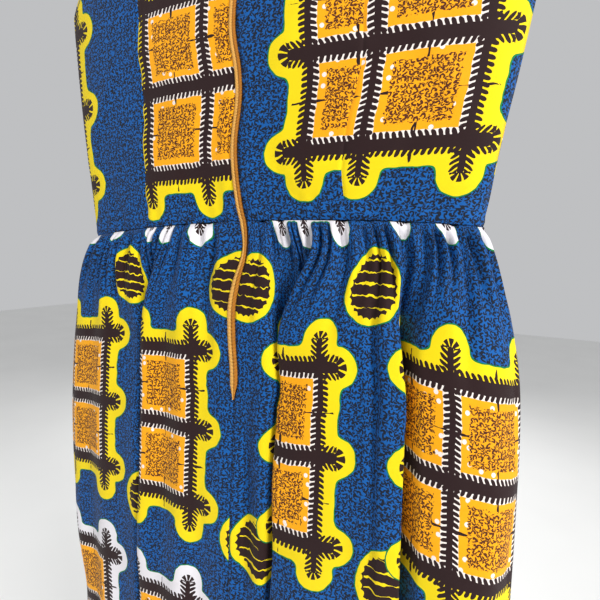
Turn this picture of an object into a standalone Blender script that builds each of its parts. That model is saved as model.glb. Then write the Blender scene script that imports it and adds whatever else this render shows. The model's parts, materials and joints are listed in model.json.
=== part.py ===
"""A sleeveless fit-and-flare dress in ankara wax print, hanging on a plain plastic hanger.

Metres, +Z up. The back of the dress faces -Y and +X is to the right as the back is looked at. The origin
is the inner top of the hanger's hook, where a rail would carry it. Heights are measured up from the middle
of the waist seam and drops are measured down from the waist seam.
"""

import functools
import math
from collections import namedtuple

import bmesh
import bpy
from mathutils import Vector

# Driving sizes.
CLOTH = 0.0016  # wall of the cloth
SEAM_GAP = 0.0004  # between two pieces that are sewn together
WAIST_Z = -0.520
WAIST_HALF_WIDTH = 0.210
WAIST_DIP = 0.0095  # the waist seam is this much lower at the sides
WAIST_RISE = 0.0065  # and is lifted this much at its middle
WAIST_TILT = 0.037  # and climbs this much for each metre to the right
UNDERARM = 0.232  # height
NECK_POINT = 0.437  # height of the shoulder seam at the neck
NECK_HALF_WIDTH = 0.085
BACK_NECK_DROP = 0.032
FRONT_NECK_DROP = 0.095
NECK_POWER = 2.2  # of the neckline: more leaves its middle flatter and its ends steeper
SHOULDER_TIP_X = 0.165
SHOULDER_TIP = 0.402  # height
ARMHOLE_START = Vector((-0.026, 0.014))  # toward which its curve leaves the underarm
ARMHOLE_END = Vector((-0.008, -0.095))  # from where its curve comes to the shoulder tip
SKIRT_LENGTH = 0.620
ZIP_TOP = 0.398  # height of the chain's upper end
ZIP_DROP = 0.151  # how far the chain runs below the waist seam

# How the cloth turns.
RING_POWER = 2.4  # of the oval rings: 2 is an ellipse, more is squarer
SHOULDER_WRAP = 0.009  # radius with which the cloth turns over the hanger
SHOULDER_FALL = 0.070  # below the shoulder the cloth reaches its full depth here
GATHER_DROP = 0.120  # below this drop the gathers have run together into folds
SKIRT_SKEW = 0.45  # the skirt swells more on its right

# Zip.
CHAIN_HALF_WIDTH = 0.0028
CHAIN_DEPTH = 0.0020
SLOT_HALF_WIDTH = 0.0034  # from the zip's middle to the cloth beside it
TAPE_REACH = 0.0125
TAPE_DEPTH = 0.0008
TAPE_SPLIT = 0.0004  # half the gap between the two tapes
SLIDER_SIZE = Vector((0.0090, 0.0016, 0.0110))
SLIDER_LIFT = 0.0004  # of the slider's plate from the chain
BRIDGE_RADIUS = 0.0007
BRIDGE_HALF_LENGTH = 0.0035
BRIDGE_REACH = 0.0039  # of the bridge's outer run from the slider's plate
AXLE_REACH = 0.0016  # of the pull tab's top bar from the slider's plate
TAB_SIZE = Vector((0.0080, 0.0012, 0.0240))
TAB_BAR = 0.0009  # half the height of the tab's top bar
TAB_WINDOW = Vector((0.0046, 0.0040, 0.0048))

# Hanger.
HOOK_INNER_RADIUS = 0.0200
HOOK_WIRE = 0.0034  # radius
HOOK_TIP_ANGLE = math.radians(205.0)
HOOK_ROOT_ANGLE = math.radians(-62.0)
HANGER_HALF_WIDTH = 0.190
HANGER_DEPTH = 0.0120
HANGER_HEIGHT_MIDDLE = 0.0240
HANGER_HEIGHT_END = 0.0120
HANGER_CLEARANCE = 0.0020  # from its top edge to the middle of the cloth's wall
HANGER_POWER = 3.2  # of its section: 2 is an ellipse, more is squarer
HANGER_END_RADIUS = 0.006
HANGER_TIP_SHARE = 0.35  # of the section that is left at the very ends
HANGER_CROWN = 0.030  # the top edge rounds over this far from the middle
HANGER_STATIONS = 40
HANGER_SIDES = 12

# Half width and depths of the bodice at each height above the waist.
BodiceRing = namedtuple("BodiceRing", "height half_width back front")
BODICE_RINGS = (
    BodiceRing(0.000, WAIST_HALF_WIDTH, 0.024, 0.026),
    BodiceRing(0.060, 0.217, 0.026, 0.030),
    BodiceRing(0.120, 0.226, 0.028, 0.036),
    BodiceRing(0.190, 0.236, 0.029, 0.038),
    BodiceRing(0.232, 0.240, 0.029, 0.036),
    BodiceRing(0.330, 0.240, 0.028, 0.030),
    BodiceRing(0.440, 0.236, 0.026, 0.024),
)

# The skirt's outline at each drop, before its folds: its sides, its middle and its depths.
SkirtRing = namedtuple("SkirtRing", "drop left right middle back front")
SKIRT_RINGS = (
    SkirtRing(0.000, WAIST_HALF_WIDTH, WAIST_HALF_WIDTH, 0.000, 0.024, 0.026),
    SkirtRing(0.030, 0.226, 0.222, 0.000, 0.031, 0.036),
    SkirtRing(0.070, 0.241, 0.236, 0.000, 0.036, 0.046),
    SkirtRing(0.130, 0.252, 0.248, 0.002, 0.040, 0.055),
    SkirtRing(0.240, 0.258, 0.254, 0.010, 0.045, 0.062),
    SkirtRing(0.360, 0.250, 0.257, 0.021, 0.049, 0.066),
    SkirtRing(0.490, 0.232, 0.260, 0.028, 0.053, 0.069),
    SkirtRing(0.620, 0.234, 0.266, 0.030, 0.056, 0.072),
)

# How the zip waves from side to side as it hangs.
ZipSway = namedtuple("ZipSway", "height across")
ZIP_SWAYS = (
    ZipSway(-0.300, 0.0060),
    ZipSway(-0.143, 0.0045),
    ZipSway(-0.105, 0.0000),
    ZipSway(-0.075, -0.0020),
    ZipSway(-0.050, 0.0010),
    ZipSway(-0.028, 0.0062),
    ZipSway(-0.010, 0.0052),
    ZipSway(0.022, -0.0040),
    ZipSway(0.072, -0.0100),
    ZipSway(0.116, -0.0052),
    ZipSway(0.140, -0.0062),
    ZipSway(0.180, -0.0130),
    ZipSway(0.240, -0.0085),
    ZipSway(0.310, -0.0090),
    ZipSway(0.370, -0.0020),
    ZipSway(0.410, 0.0000),
)

# A gather says which share of the waist a length of the skirt's cloth has come to. A fold says where along
# the cloth it starts, how much cloth it takes in, and how far its bottom lies inward and aside.
Gather = namedtuple("Gather", "cloth share")
Fold = namedtuple("Fold", "start hidden inward aside")
Gore = namedtuple("Gore", "side face cloth gathers folds")
FOLD_MOUTH = 0.0075
FOLD_BOTTOM = 0.06  # half the share of a fold's cloth that lies across its bottom

BACK_RIGHT = Gore(
    side=1,
    face=-1,
    cloth=0.500,
    gathers=(
        Gather(0.000, 0.000),
        Gather(0.070, 0.165),
        Gather(0.150, 0.270),
        Gather(0.230, 0.425),
        Gather(0.340, 0.670),
        Gather(0.420, 0.840),
        Gather(0.500, 1.000),
    ),
    folds=(Fold(0.040, 0.140, 0.046, 0.034), Fold(0.280, 0.012, 0.005, 0.0), Fold(0.320, 0.070, 0.030, -0.014)),
)
BACK_LEFT = Gore(
    side=-1,
    face=-1,
    cloth=0.420,
    gathers=(
        Gather(0.000, 0.000),
        Gather(0.050, 0.225),
        Gather(0.130, 0.405),
        Gather(0.210, 0.515),
        Gather(0.320, 0.755),
        Gather(0.420, 1.000),
    ),
    folds=(Fold(0.128, 0.135, 0.040, -0.032),),
)
FRONT_RIGHT = Gore(
    side=1,
    face=1,
    cloth=0.470,
    gathers=(Gather(0.000, 0.000), Gather(0.160, 0.360), Gather(0.310, 0.640), Gather(0.470, 1.000)),
    folds=(Fold(0.050, 0.080, 0.036, 0.012), Fold(0.215, 0.070, 0.032, -0.010), Fold(0.350, 0.050, 0.022, 0.006)),
)
FRONT_LEFT = Gore(
    side=-1,
    face=1,
    cloth=0.450,
    gathers=(Gather(0.000, 0.000), Gather(0.140, 0.300), Gather(0.300, 0.690), Gather(0.450, 1.000)),
    folds=(Fold(0.040, 0.070, 0.030, 0.000), Fold(0.170, 0.090, 0.036, 0.010), Fold(0.325, 0.040, 0.018, 0.0)),
)

# Where the solids are divided.
SKIRT_DROPS = (0.0, 0.012, 0.028, 0.050, 0.075, 0.105, ZIP_DROP, 0.250, 0.370, 0.490, SKIRT_LENGTH)
FOLD_STEPS = (0.0, 0.22, 0.5 - FOLD_BOTTOM, 0.5, 0.5 + FOLD_BOTTOM, 0.78, 1.0)
FACE_STEP = 0.036
SIDE_STEPS = (0.026, 0.012, 0.004)  # distances from a side seam, where the cloth turns
BODICE_ACROSS = (0.0, 0.15, 0.30, 0.42, 0.47, 0.488, 0.497, 0.5, 0.54, 0.64, 0.76, 0.88, 0.96, 1.0)
UNDERARM_STEP = 0.55  # share of the bodice's rows that lie below the underarm
BODICE_UP = (0.0, 0.06, 0.12, 0.19, 0.27, 0.36, 0.45, UNDERARM_STEP, 0.65, 0.75, 0.85, 0.93, 0.97, 0.99, 0.998, 1.0)
PROBE = 1e-4  # step with which a surface's slope is measured
MITRE = 1.5  # limit of a wall's corner, in thicknesses


def smooth(value):
    """0 to 1 with a soft start and a soft end."""
    value = min(max(value, 0.0), 1.0)
    return value * value * (3.0 - 2.0 * value)


def read(rows, key, wanted, at):
    """The wanted column of a table at a place between its rows, on a smooth curve through them."""
    places = [getattr(row, key) for row in rows]
    values = [getattr(row, wanted) for row in rows]
    at = min(max(at, places[0]), places[-1])
    low = max(index for index, place in enumerate(places[:-1]) if place <= at)
    span = places[low + 1] - places[low]

    def slope(index):
        before, after = max(index - 1, 0), min(index + 1, len(rows) - 1)
        return (values[after] - values[before]) / (places[after] - places[before])

    t = (at - places[low]) / span
    start, end = values[low], values[low + 1]
    return (
        start * (1 + 2 * t) * (1 - t) ** 2
        + end * t * t * (3 - 2 * t)
        + slope(low) * span * t * (1 - t) ** 2
        - slope(low + 1) * span * t * t * (1 - t)
    )


def bezier(points, t):
    """A point on the cubic curve through the first and last of four points."""
    a, b, c, d = points
    return a * (1 - t) ** 3 + b * 3 * t * (1 - t) ** 2 + c * 3 * t * t * (1 - t) + d * t**3


def waist_height(x):
    """Height of the waist seam at x: it dips toward the sides."""
    return -WAIST_DIP * min(abs(x) / WAIST_HALF_WIDTH, 1.2) ** 2


def waist_lean(x):
    """How far the cloth is pulled up at the waist at x. It fades towards the neck and the hem."""
    return WAIST_RISE + WAIST_TILT * x


def shoulder_height(x):
    """Height of the line of the shoulder seam, carried on to the middle."""
    fall = (NECK_POINT - SHOULDER_TIP) / (SHOULDER_TIP_X - NECK_HALF_WIDTH)
    return NECK_POINT - fall * (abs(x) - NECK_HALF_WIDTH)


def slot_edge(side, height):
    """Where the cloth beside the zip ends, or beside the seam below the zip."""
    inside_zip = smooth((height + ZIP_DROP + 0.012) / 0.012)
    half_width = SEAM_GAP / 2 + (SLOT_HALF_WIDTH - SEAM_GAP / 2) * inside_zip
    return read(ZIP_SWAYS, "height", "across", height) + side * half_width


# Bodice.


def bodice_y(x, height, face):
    """How far the bodice's cloth lies behind or in front of the middle plane."""
    half_width = read(BODICE_RINGS, "height", "half_width", height)
    depth = read(BODICE_RINGS, "height", "back" if face < 0 else "front", height)
    share = min(abs(x) / half_width, 1.0)
    full = depth * (1.0 - share**RING_POWER) ** (1.0 / RING_POWER)
    below = max(shoulder_height(x) - height, 0.0)
    turned = max(1.0 - below / SHOULDER_WRAP, 0.0)
    wrap = SHOULDER_WRAP * math.sqrt(1.0 - turned * turned)
    return face * (SEAM_GAP / 2 + wrap + (full - wrap) * smooth(below / SHOULDER_FALL))


def side_line(along):
    """The side seam and, above the underarm, the armhole's edge, as (x, height)."""
    if along <= UNDERARM_STEP:
        height = waist_height(WAIST_HALF_WIDTH)
        height += (UNDERARM - height) * along / UNDERARM_STEP
        return Vector((read(BODICE_RINGS, "height", "half_width", max(height, 0.0)), height))
    underarm = Vector((read(BODICE_RINGS, "height", "half_width", UNDERARM), UNDERARM))
    tip = Vector((SHOULDER_TIP_X, SHOULDER_TIP))
    armhole = (underarm, underarm + ARMHOLE_START, tip + ARMHOLE_END, tip)
    return bezier(armhole, (along - UNDERARM_STEP) / (1.0 - UNDERARM_STEP))


def top_line(along, neck_drop):
    """The neckline and then the shoulder seam, as (x, height)."""
    if along <= 0.5:
        out = along * 2
        return Vector((NECK_HALF_WIDTH * out, NECK_POINT - neck_drop * (1.0 - out**NECK_POWER)))
    x = NECK_HALF_WIDTH + (SHOULDER_TIP_X - NECK_HALF_WIDTH) * (along - 0.5) * 2
    return Vector((x, shoulder_height(x)))


def bodice_outline(across, up, neck_drop):
    """A place on half a bodice, as (x, height), spread evenly between its four edges."""
    corner = side_line(0.0)
    bottom = Vector((WAIST_HALF_WIDTH * across, waist_height(WAIST_HALF_WIDTH * across)))
    middle_top = NECK_POINT - neck_drop
    middle = Vector((0.0, middle_top * up))
    top = top_line(across, neck_drop)
    between_sides = middle * (1 - across) + side_line(up) * across
    between_ends = bottom * (1 - up) + top * up
    corners = Vector((0.0, middle_top)) * (1 - across) * up
    corners += corner * across * (1 - up) + top_line(1.0, neck_drop) * across * up
    return between_sides + between_ends - corners


def bodice_point(side, face, across, up):
    """A place on the middle of the bodice's wall. Across runs from the centre line to the side."""
    x, height = bodice_outline(across, up, BACK_NECK_DROP if face < 0 else FRONT_NECK_DROP)
    y = bodice_y(x, height, face)
    height += (waist_lean(side * x) + SEAM_GAP / 2) * (1 - up)
    if face < 0:
        half_width = max(read(BODICE_RINGS, "height", "half_width", height), x)
        edge = slot_edge(side, height)
        return Vector((edge + (side * half_width - edge) * x / half_width, y, WAIST_Z + height))
    return Vector((side * x, y, WAIST_Z + height))


def bodice_normal(side, face, across, up):
    """The direction out of the bodice at a place, from how its depth changes across and up."""
    x, height = bodice_outline(across, up, BACK_NECK_DROP if face < 0 else FRONT_NECK_DROP)
    step = -PROBE if across > 0.5 else PROBE
    y = bodice_y(x, height, face)
    slope_x = (bodice_y(x + step, height, face) - y) / step
    slope_z = (y - bodice_y(x, height - PROBE, face)) / PROBE
    return Vector((-side * slope_x, 1.0, -slope_z)).normalized() * face


# Skirt.


@functools.lru_cache(maxsize=None)
def skirt_ring(side, face, drop):
    """Half an oval of the skirt as points from its middle to its side, with the length up to each."""
    width = read(SKIRT_RINGS, "drop", "right" if side > 0 else "left", drop)
    middle = read(SKIRT_RINGS, "drop", "middle", drop)
    depth = read(SKIRT_RINGS, "drop", "back" if face < 0 else "front", drop)
    points = []
    steps = 72
    for step in range(steps + 1):
        turn = math.pi / 2 * step / steps
        x = middle + (side * width - middle) * math.sin(turn) ** (2 / RING_POWER)
        swell = 1.0 + SKIRT_SKEW * smooth(drop / GATHER_DROP) * x * abs(x) / width**2 * (face < 0)
        y = SEAM_GAP / 2 + depth * swell * abs(math.cos(turn)) ** (2 / RING_POWER) * (step < steps)
        points.append(Vector((x, face * y)))
    lengths = [0.0]
    for before, after in zip(points, points[1:]):
        lengths.append(lengths[-1] + (after - before).length)
    return points, lengths


def along_ring(ring, distance):
    """The place at a distance along a ring and the ring's direction there."""
    points, lengths = ring
    distance = min(max(distance, 0.0), lengths[-1])
    low = max(index for index, length in enumerate(lengths[:-1]) if length <= distance)
    share = (distance - lengths[low]) / (lengths[low + 1] - lengths[low])
    place = points[low].lerp(points[low + 1], share)
    before, after = points[max(low - 1, 0)], points[min(low + 2, len(points) - 1)]
    return place, (after - before).normalized()


def fold_shape(gore, cloth):
    """What shows of the cloth up to a place on it, and how far that place is folded inward and aside."""
    visible = cloth
    inward = aside = 0.0
    for fold in gore.folds:
        share = min(max((cloth - fold.start) / fold.hidden, 0.0), 1.0)
        crossed = min(max((share - 0.5 + FOLD_BOTTOM) / (2 * FOLD_BOTTOM), 0.0), 1.0)
        reach = min(min(share, 1.0 - share) / (0.5 - FOLD_BOTTOM), 1.0)
        visible += FOLD_MOUTH * crossed - fold.hidden * share
        inward += fold.inward * reach
        aside += fold.aside * reach
    return visible, inward, aside


def skirt_point(gore, cloth, drop):
    """A place on the middle of the skirt's wall. Cloth is the flat distance from the centre line."""
    ring = skirt_ring(gore.side, gore.face, round(drop, 6))
    length = ring[1][-1]
    folded = smooth(drop / GATHER_DROP)
    visible, inward, aside = fold_shape(gore, cloth)
    whole = fold_shape(gore, gore.cloth)[0]
    gathered = read(gore.gathers, "cloth", "share", cloth)
    place, heading = along_ring(ring, length * (gathered * (1 - folded) + visible / whole * folded) + aside * folded)
    inner = Vector((-heading.y, heading.x)) * (-gore.face * gore.side)
    x, y = place + inner * inward * folded
    height = waist_height(place.x) + waist_lean(place.x) * (1 - drop / SKIRT_LENGTH) - SEAM_GAP / 2 - drop
    if gore.face < 0:
        shift = slot_edge(gore.side, height) - read(SKIRT_RINGS, "drop", "middle", drop)
        x += shift * max(1.0 - abs(place.x) / read(SKIRT_RINGS, "drop", "left", drop), 0.0)
    return Vector((x, y, WAIST_Z + height))


def gore_steps(gore):
    """Distances along the cloth at which a gore is divided, with its folds divided more finely."""
    edges = [0.0]
    for fold in gore.folds:
        edges += [fold.start, fold.start + fold.hidden]
    edges.append(gore.cloth)
    steps = [0.0]
    for index, (start, end) in enumerate(zip(edges, edges[1:])):
        if index % 2:
            shares = FOLD_STEPS[1:]
        else:
            pieces = max(round((end - start) / FACE_STEP), 1)
            shares = [(piece + 1) / pieces for piece in range(pieces)]
        steps += [start + (end - start) * share for share in shares]
    near_side = [gore.cloth - distance for distance in SIDE_STEPS]
    return sorted([step for step in steps if step < near_side[0] - FACE_STEP / 3] + near_side + [gore.cloth])


# Making objects.


def material(name, colour, roughness, metallic=0.0):
    """A plain Principled material."""
    made = bpy.data.materials.new(name)
    made.use_nodes = True
    shader = made.node_tree.nodes["Principled BSDF"]
    shader.inputs["Base Color"].default_value = (*colour, 1.0)
    shader.inputs["Roughness"].default_value = roughness
    shader.inputs["Metallic"].default_value = metallic
    return made


def finish(name, mesh, surface, sharp=40.0):
    """Puts a bmesh into a named object in the scene, shaded smooth between its sharp edges."""
    data = bpy.data.meshes.new(name)
    mesh.to_mesh(data)
    mesh.free()
    data.shade_smooth()
    data.set_sharp_from_angle(angle=math.radians(sharp))
    made = bpy.data.objects.new(name, data)
    bpy.context.collection.objects.link(made)
    made.data.materials.append(surface)
    return made


def slope_normal(point, column, row, columns, rows):
    """Out of a surface at one of its places, longer where the surface turns sharply so its wall keeps up."""
    place = point(column, row)
    up = (point(column, row + (PROBE if row + PROBE <= rows[-1] else -PROBE)) - place).normalized()
    if row + PROBE > rows[-1]:
        up.negate()
    normals = []
    for step in (-PROBE, PROBE):
        if columns[0] <= column + step <= columns[-1]:
            across = (point(column + step, row) - place) / step
            normals.append(across.cross(up).normalized())
    outward = sum(normals, Vector()).normalized()
    return outward / max(outward.dot(normals[0]), 1.0 / MITRE)


def wall(name, columns, rows, point, thickness, surface, normal=None):
    """A wall over a grid: point(column, row) is its middle and normal(column, row) points out of it."""
    mesh = bmesh.new()
    bmesh.ops.create_grid(mesh, x_segments=len(columns) - 1, y_segments=len(rows) - 1, size=1.0)
    originals = set(mesh.verts)
    bmesh.ops.extrude_face_region(mesh, geom=list(mesh.faces))

    for vert in mesh.verts:
        column = columns[round((vert.co.x + 1) / 2 * (len(columns) - 1))]
        row = rows[round((vert.co.y + 1) / 2 * (len(rows) - 1))]
        outward = normal(column, row) if normal else slope_normal(point, column, row, columns, rows)
        if row == 0.0:
            outward.z = 0.0
        offset = thickness / 2 if vert in originals else -thickness / 2
        vert.co = point(column, row) + outward * offset
    bmesh.ops.recalc_face_normals(mesh, faces=list(mesh.faces))
    return finish(name, mesh, surface)


def make_bodice(surface):
    """The two back panels and the front panel, from the waist seam to the neck and the armholes."""
    for name, side in (("bodice_back_left", -1), ("bodice_back_right", 1)):

        def back_point(across, up, side=side):
            return bodice_point(side, -1, across, up)

        def back_normal(across, up, side=side):
            return bodice_normal(side, -1, across, up)

        wall(name, BODICE_ACROSS, BODICE_UP, back_point, CLOTH, surface, back_normal)

    def front_point(across, up):
        return bodice_point(1 if across >= 0 else -1, 1, abs(across), up)

    def front_normal(across, up):
        return bodice_normal(1 if across >= 0 else -1, 1, abs(across), up)

    both_ways = [-across for across in reversed(BODICE_ACROSS[1:])] + list(BODICE_ACROSS)
    wall("bodice_front", both_ways, BODICE_UP, front_point, CLOTH, surface, front_normal)


def make_skirt(surface):
    """The two back panels and the front panel, gathered into the waist seam."""
    for name, gore in (("skirt_back_left", BACK_LEFT), ("skirt_back_right", BACK_RIGHT)):

        def back_point(cloth, drop, gore=gore):
            return skirt_point(gore, cloth, drop)

        wall(name, gore_steps(gore), SKIRT_DROPS, back_point, CLOTH, surface)

    def front_point(cloth, drop):
        gore = FRONT_RIGHT if cloth >= 0 else FRONT_LEFT
        return skirt_point(gore, abs(cloth), drop)

    both_ways = [-cloth for cloth in reversed(gore_steps(FRONT_LEFT)[1:])] + gore_steps(FRONT_RIGHT)
    wall("skirt_front", both_ways, SKIRT_DROPS, front_point, CLOTH, surface)


# Zip.


def zip_middle(height):
    """The middle of the slot at a height, on the middle of the cloth's wall."""
    if height >= WAIST_RISE:
        y = bodice_y(0.0, (height - WAIST_RISE) / (1 - WAIST_RISE / (NECK_POINT - BACK_NECK_DROP)), -1)
    else:
        drop = max(WAIST_RISE - SEAM_GAP / 2 - height, 0.0) / (1 + WAIST_RISE / SKIRT_LENGTH)
        y = -read(SKIRT_RINGS, "drop", "back", drop) - SEAM_GAP / 2
    return Vector((read(ZIP_SWAYS, "height", "across", height), y, WAIST_Z + height))


def zip_heights():
    """The heights at which the back panels are divided, from the chain's lower end to its upper end."""
    below = [skirt_point(BACK_RIGHT, 0.0, drop).z - WAIST_Z for drop in SKIRT_DROPS]
    below = [height for height in below if height > -ZIP_DROP]
    above = [bodice_point(1, -1, 0.0, up).z - WAIST_Z for up in BODICE_UP]
    return [-ZIP_DROP] + below[::-1] + [height for height in above if height < ZIP_TOP] + [ZIP_TOP]


def zip_strip(name, start, end, depth, behind, surface):
    """A strip along the zip from start to end across it, its middle lying behind the cloth's."""

    def strip_point(across, height):
        return zip_middle(height) + Vector((across, behind, 0.0))

    return wall(name, (start, end), zip_heights(), strip_point, depth, surface)


def make_zip(tape, chain, metal):
    """The two tapes, the closed chain, the slider and its hanging pull tab."""
    tape_behind = CLOTH / 2 + SEAM_GAP + TAPE_DEPTH / 2
    chain_behind = CLOTH / 2 - CHAIN_DEPTH / 2
    zip_strip("zip_tape_left", -TAPE_REACH, -TAPE_SPLIT, TAPE_DEPTH, tape_behind, tape)
    zip_strip("zip_tape_right", TAPE_SPLIT, TAPE_REACH, TAPE_DEPTH, tape_behind, tape)
    zip_strip("zip_chain", -CHAIN_HALF_WIDTH, CHAIN_HALF_WIDTH, CHAIN_DEPTH, chain_behind, chain)

    face = zip_middle(ZIP_TOP - SLIDER_SIZE.z / 2)
    face.y += chain_behind - CHAIN_DEPTH / 2 - SLIDER_LIFT - SLIDER_SIZE.y
    make_slider(face, metal)
    make_pull_tab(face + Vector((0.0, -AXLE_REACH, 0.0)), metal)


def block(mesh, centre, size):
    """A box in a bmesh."""
    made = bmesh.ops.create_cube(mesh, size=1.0)
    bmesh.ops.scale(mesh, vec=size, verts=made["verts"])
    bmesh.ops.translate(mesh, vec=centre, verts=made["verts"])
    return made["verts"]


def union(target, other):
    """Joins a closed object into another for good."""
    join = target.modifiers.new("join", "BOOLEAN")
    join.operation = "UNION"
    join.solver = "EXACT"
    join.object = other
    other.hide_render = True
    other.display_type = "WIRE"


def make_slider(face, metal):
    """A bevelled plate on the chain, with a wire bridge along it that holds the pull tab."""
    mesh = bmesh.new()
    block(mesh, face + Vector((0.0, SLIDER_SIZE.y / 2, 0.0)), SLIDER_SIZE)
    bmesh.ops.bevel(mesh, geom=list(mesh.edges), offset=0.0005, segments=2, profile=0.5, affect="EDGES")
    slider = finish("zip_slider", mesh, metal)

    corner = BRIDGE_RADIUS * 1.4
    half = []
    for turn in (0.0, 0.5, 1.0):
        angle = math.pi / 2 * turn
        z = BRIDGE_HALF_LENGTH - corner + corner * math.cos(angle)
        half.append(Vector((0.0, -BRIDGE_REACH + corner - corner * math.sin(angle), z)))
    path = [Vector((0.0, SLIDER_SIZE.y / 2, BRIDGE_HALF_LENGTH))] + half
    path += [Vector((0.0, place.y, -place.z)) for place in reversed(path)]
    bridge = tube("slider_bridge", [face + place for place in path], BRIDGE_RADIUS, metal, resolution=2)
    union(slider, bridge)


def make_pull_tab(axle, metal):
    """A flat tab whose top bar lies in the slider's bridge, its origin on the axle it hangs from."""
    mesh = bmesh.new()
    block(mesh, Vector((0.0, 0.0, TAB_BAR - TAB_SIZE.z / 2)), TAB_SIZE)
    corners = [edge for edge in mesh.edges if abs(edge.verts[0].co.y - edge.verts[1].co.y) > TAB_SIZE.y / 2]
    bmesh.ops.bevel(mesh, geom=corners, offset=0.0012, segments=3, profile=0.5, affect="EDGES")
    tab = finish("zip_pull_tab", mesh, metal)
    tab.location = axle

    mesh = bmesh.new()
    block(mesh, axle - Vector((0.0, 0.0, TAB_BAR + TAB_WINDOW.z / 2)), TAB_WINDOW)
    window = finish("tab_window", mesh, metal)
    window.hide_render = True
    window.display_type = "WIRE"
    cut = tab.modifiers.new("window", "BOOLEAN")
    cut.operation = "DIFFERENCE"
    cut.solver = "EXACT"
    cut.object = window


# Hanger.


def tube(name, path, radius, surface, resolution=3):
    """A round rod along a list of points, as a mesh."""
    curve = bpy.data.curves.new(name, "CURVE")
    curve.dimensions = "3D"
    curve.bevel_depth = radius
    curve.bevel_resolution = resolution
    curve.use_fill_caps = True
    line = curve.splines.new("POLY")
    line.points.add(len(path) - 1)
    for point, place in zip(line.points, path):
        point.co = (*place, 1.0)
    guide = bpy.data.objects.new(name + "_guide", curve)
    bpy.context.collection.objects.link(guide)
    evaluated = guide.evaluated_get(bpy.context.evaluated_depsgraph_get())
    mesh = bmesh.new()
    mesh.from_mesh(evaluated.to_mesh())
    evaluated.to_mesh_clear()
    bpy.data.objects.remove(guide, do_unlink=True)
    bmesh.ops.remove_doubles(mesh, verts=list(mesh.verts), dist=radius * 0.01)
    bmesh.ops.recalc_face_normals(mesh, faces=list(mesh.faces))
    return finish(name, mesh, surface)


def hanger_top(x):
    """Height of the hanger's top edge: the slope of the shoulders, rounded over in the middle."""
    return WAIST_Z + shoulder_height(math.hypot(x, HANGER_CROWN)) - HANGER_CLEARANCE


def make_hanger(surface):
    """One moulded hanger: two sloping arms with round ends and a fixed hook."""
    mesh = bmesh.new()
    bmesh.ops.create_grid(mesh, x_segments=HANGER_STATIONS, y_segments=HANGER_SIDES, size=1.0)
    for vert in mesh.verts:
        x = HANGER_HALF_WIDTH * vert.co.x
        rounded = min((HANGER_HALF_WIDTH - abs(x)) / HANGER_END_RADIUS, 1.0)
        rounded = max(math.sqrt(rounded * (2.0 - rounded)), HANGER_TIP_SHARE)
        height = HANGER_HEIGHT_MIDDLE + (HANGER_HEIGHT_END - HANGER_HEIGHT_MIDDLE) * abs(x) / HANGER_HALF_WIDTH
        turn = math.pi * (vert.co.y + 1)
        lift, out = math.sin(turn), math.cos(turn)
        lift = math.copysign(abs(lift) ** (2 / HANGER_POWER), lift)
        out = math.copysign(abs(out) ** (2 / HANGER_POWER), out)
        vert.co = (
            x,
            out * rounded * HANGER_DEPTH / 2,
            hanger_top(x) - height / 2 + lift * rounded * height / 2,
        )
    bmesh.ops.remove_doubles(mesh, verts=list(mesh.verts), dist=PROBE)
    bmesh.ops.holes_fill(mesh, edges=list(mesh.edges))
    bmesh.ops.recalc_face_normals(mesh, faces=list(mesh.faces))
    hanger = finish("hanger", mesh, surface)

    radius = HOOK_INNER_RADIUS + HOOK_WIRE
    centre = Vector((0.0, 0.0, -HOOK_INNER_RADIUS))
    turns = 20
    path = []
    for turn in range(turns + 1):
        angle = HOOK_TIP_ANGLE + (HOOK_ROOT_ANGLE - HOOK_TIP_ANGLE) * turn / turns
        path.append(centre + Vector((math.cos(angle), 0.0, math.sin(angle))) * radius)
    foot = Vector((0.0, 0.0, hanger_top(0.0) - HANGER_HEIGHT_MIDDLE / 2))
    heading = (path[-1] - path[-2]).normalized() * 0.012
    neck = (path[-1], path[-1] + heading, Vector((0.0, 0.0, foot.z + 0.016)), foot)
    path += [bezier(neck, step / 8) for step in range(1, 9)]
    hook = tube("hanger_hook", path, HOOK_WIRE, surface, resolution=3)
    union(hanger, hook)


def main():
    """Builds every piece of the dress and its hanger."""
    for thing in list(bpy.data.objects):
        bpy.data.objects.remove(thing, do_unlink=True)
    wax_print = material("wax_print", (0.05, 0.17, 0.55), 0.75)
    zip_tape = material("zip_tape", (0.62, 0.42, 0.10), 0.8)
    zip_coil = material("zip_coil", (0.70, 0.43, 0.10), 0.4)
    zip_metal = material("zip_metal", (0.75, 0.55, 0.22), 0.3, metallic=1.0)
    plastic = material("hanger_plastic", (0.85, 0.85, 0.84), 0.35)
    make_bodice(wax_print)
    make_skirt(wax_print)
    make_zip(zip_tape, zip_coil, zip_metal)
    make_hanger(plastic)


main()
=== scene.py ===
"""Looks of a wax print dress on its hanger: sewn cloth over the frame's solids, a drawn print and a coil zip.

Metres, +Z up. The back of the dress faces -Y. Heights are measured up from the middle of the waist seam and
drops are measured down from the waist seam, as a dressmaker measures them.
"""

from __future__ import annotations

import bisect
import functools
import json
import logging
import math
from dataclasses import dataclass, field
from enum import IntEnum
from typing import Callable

import bmesh
import bpy
from mathutils import Matrix, Vector

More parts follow.
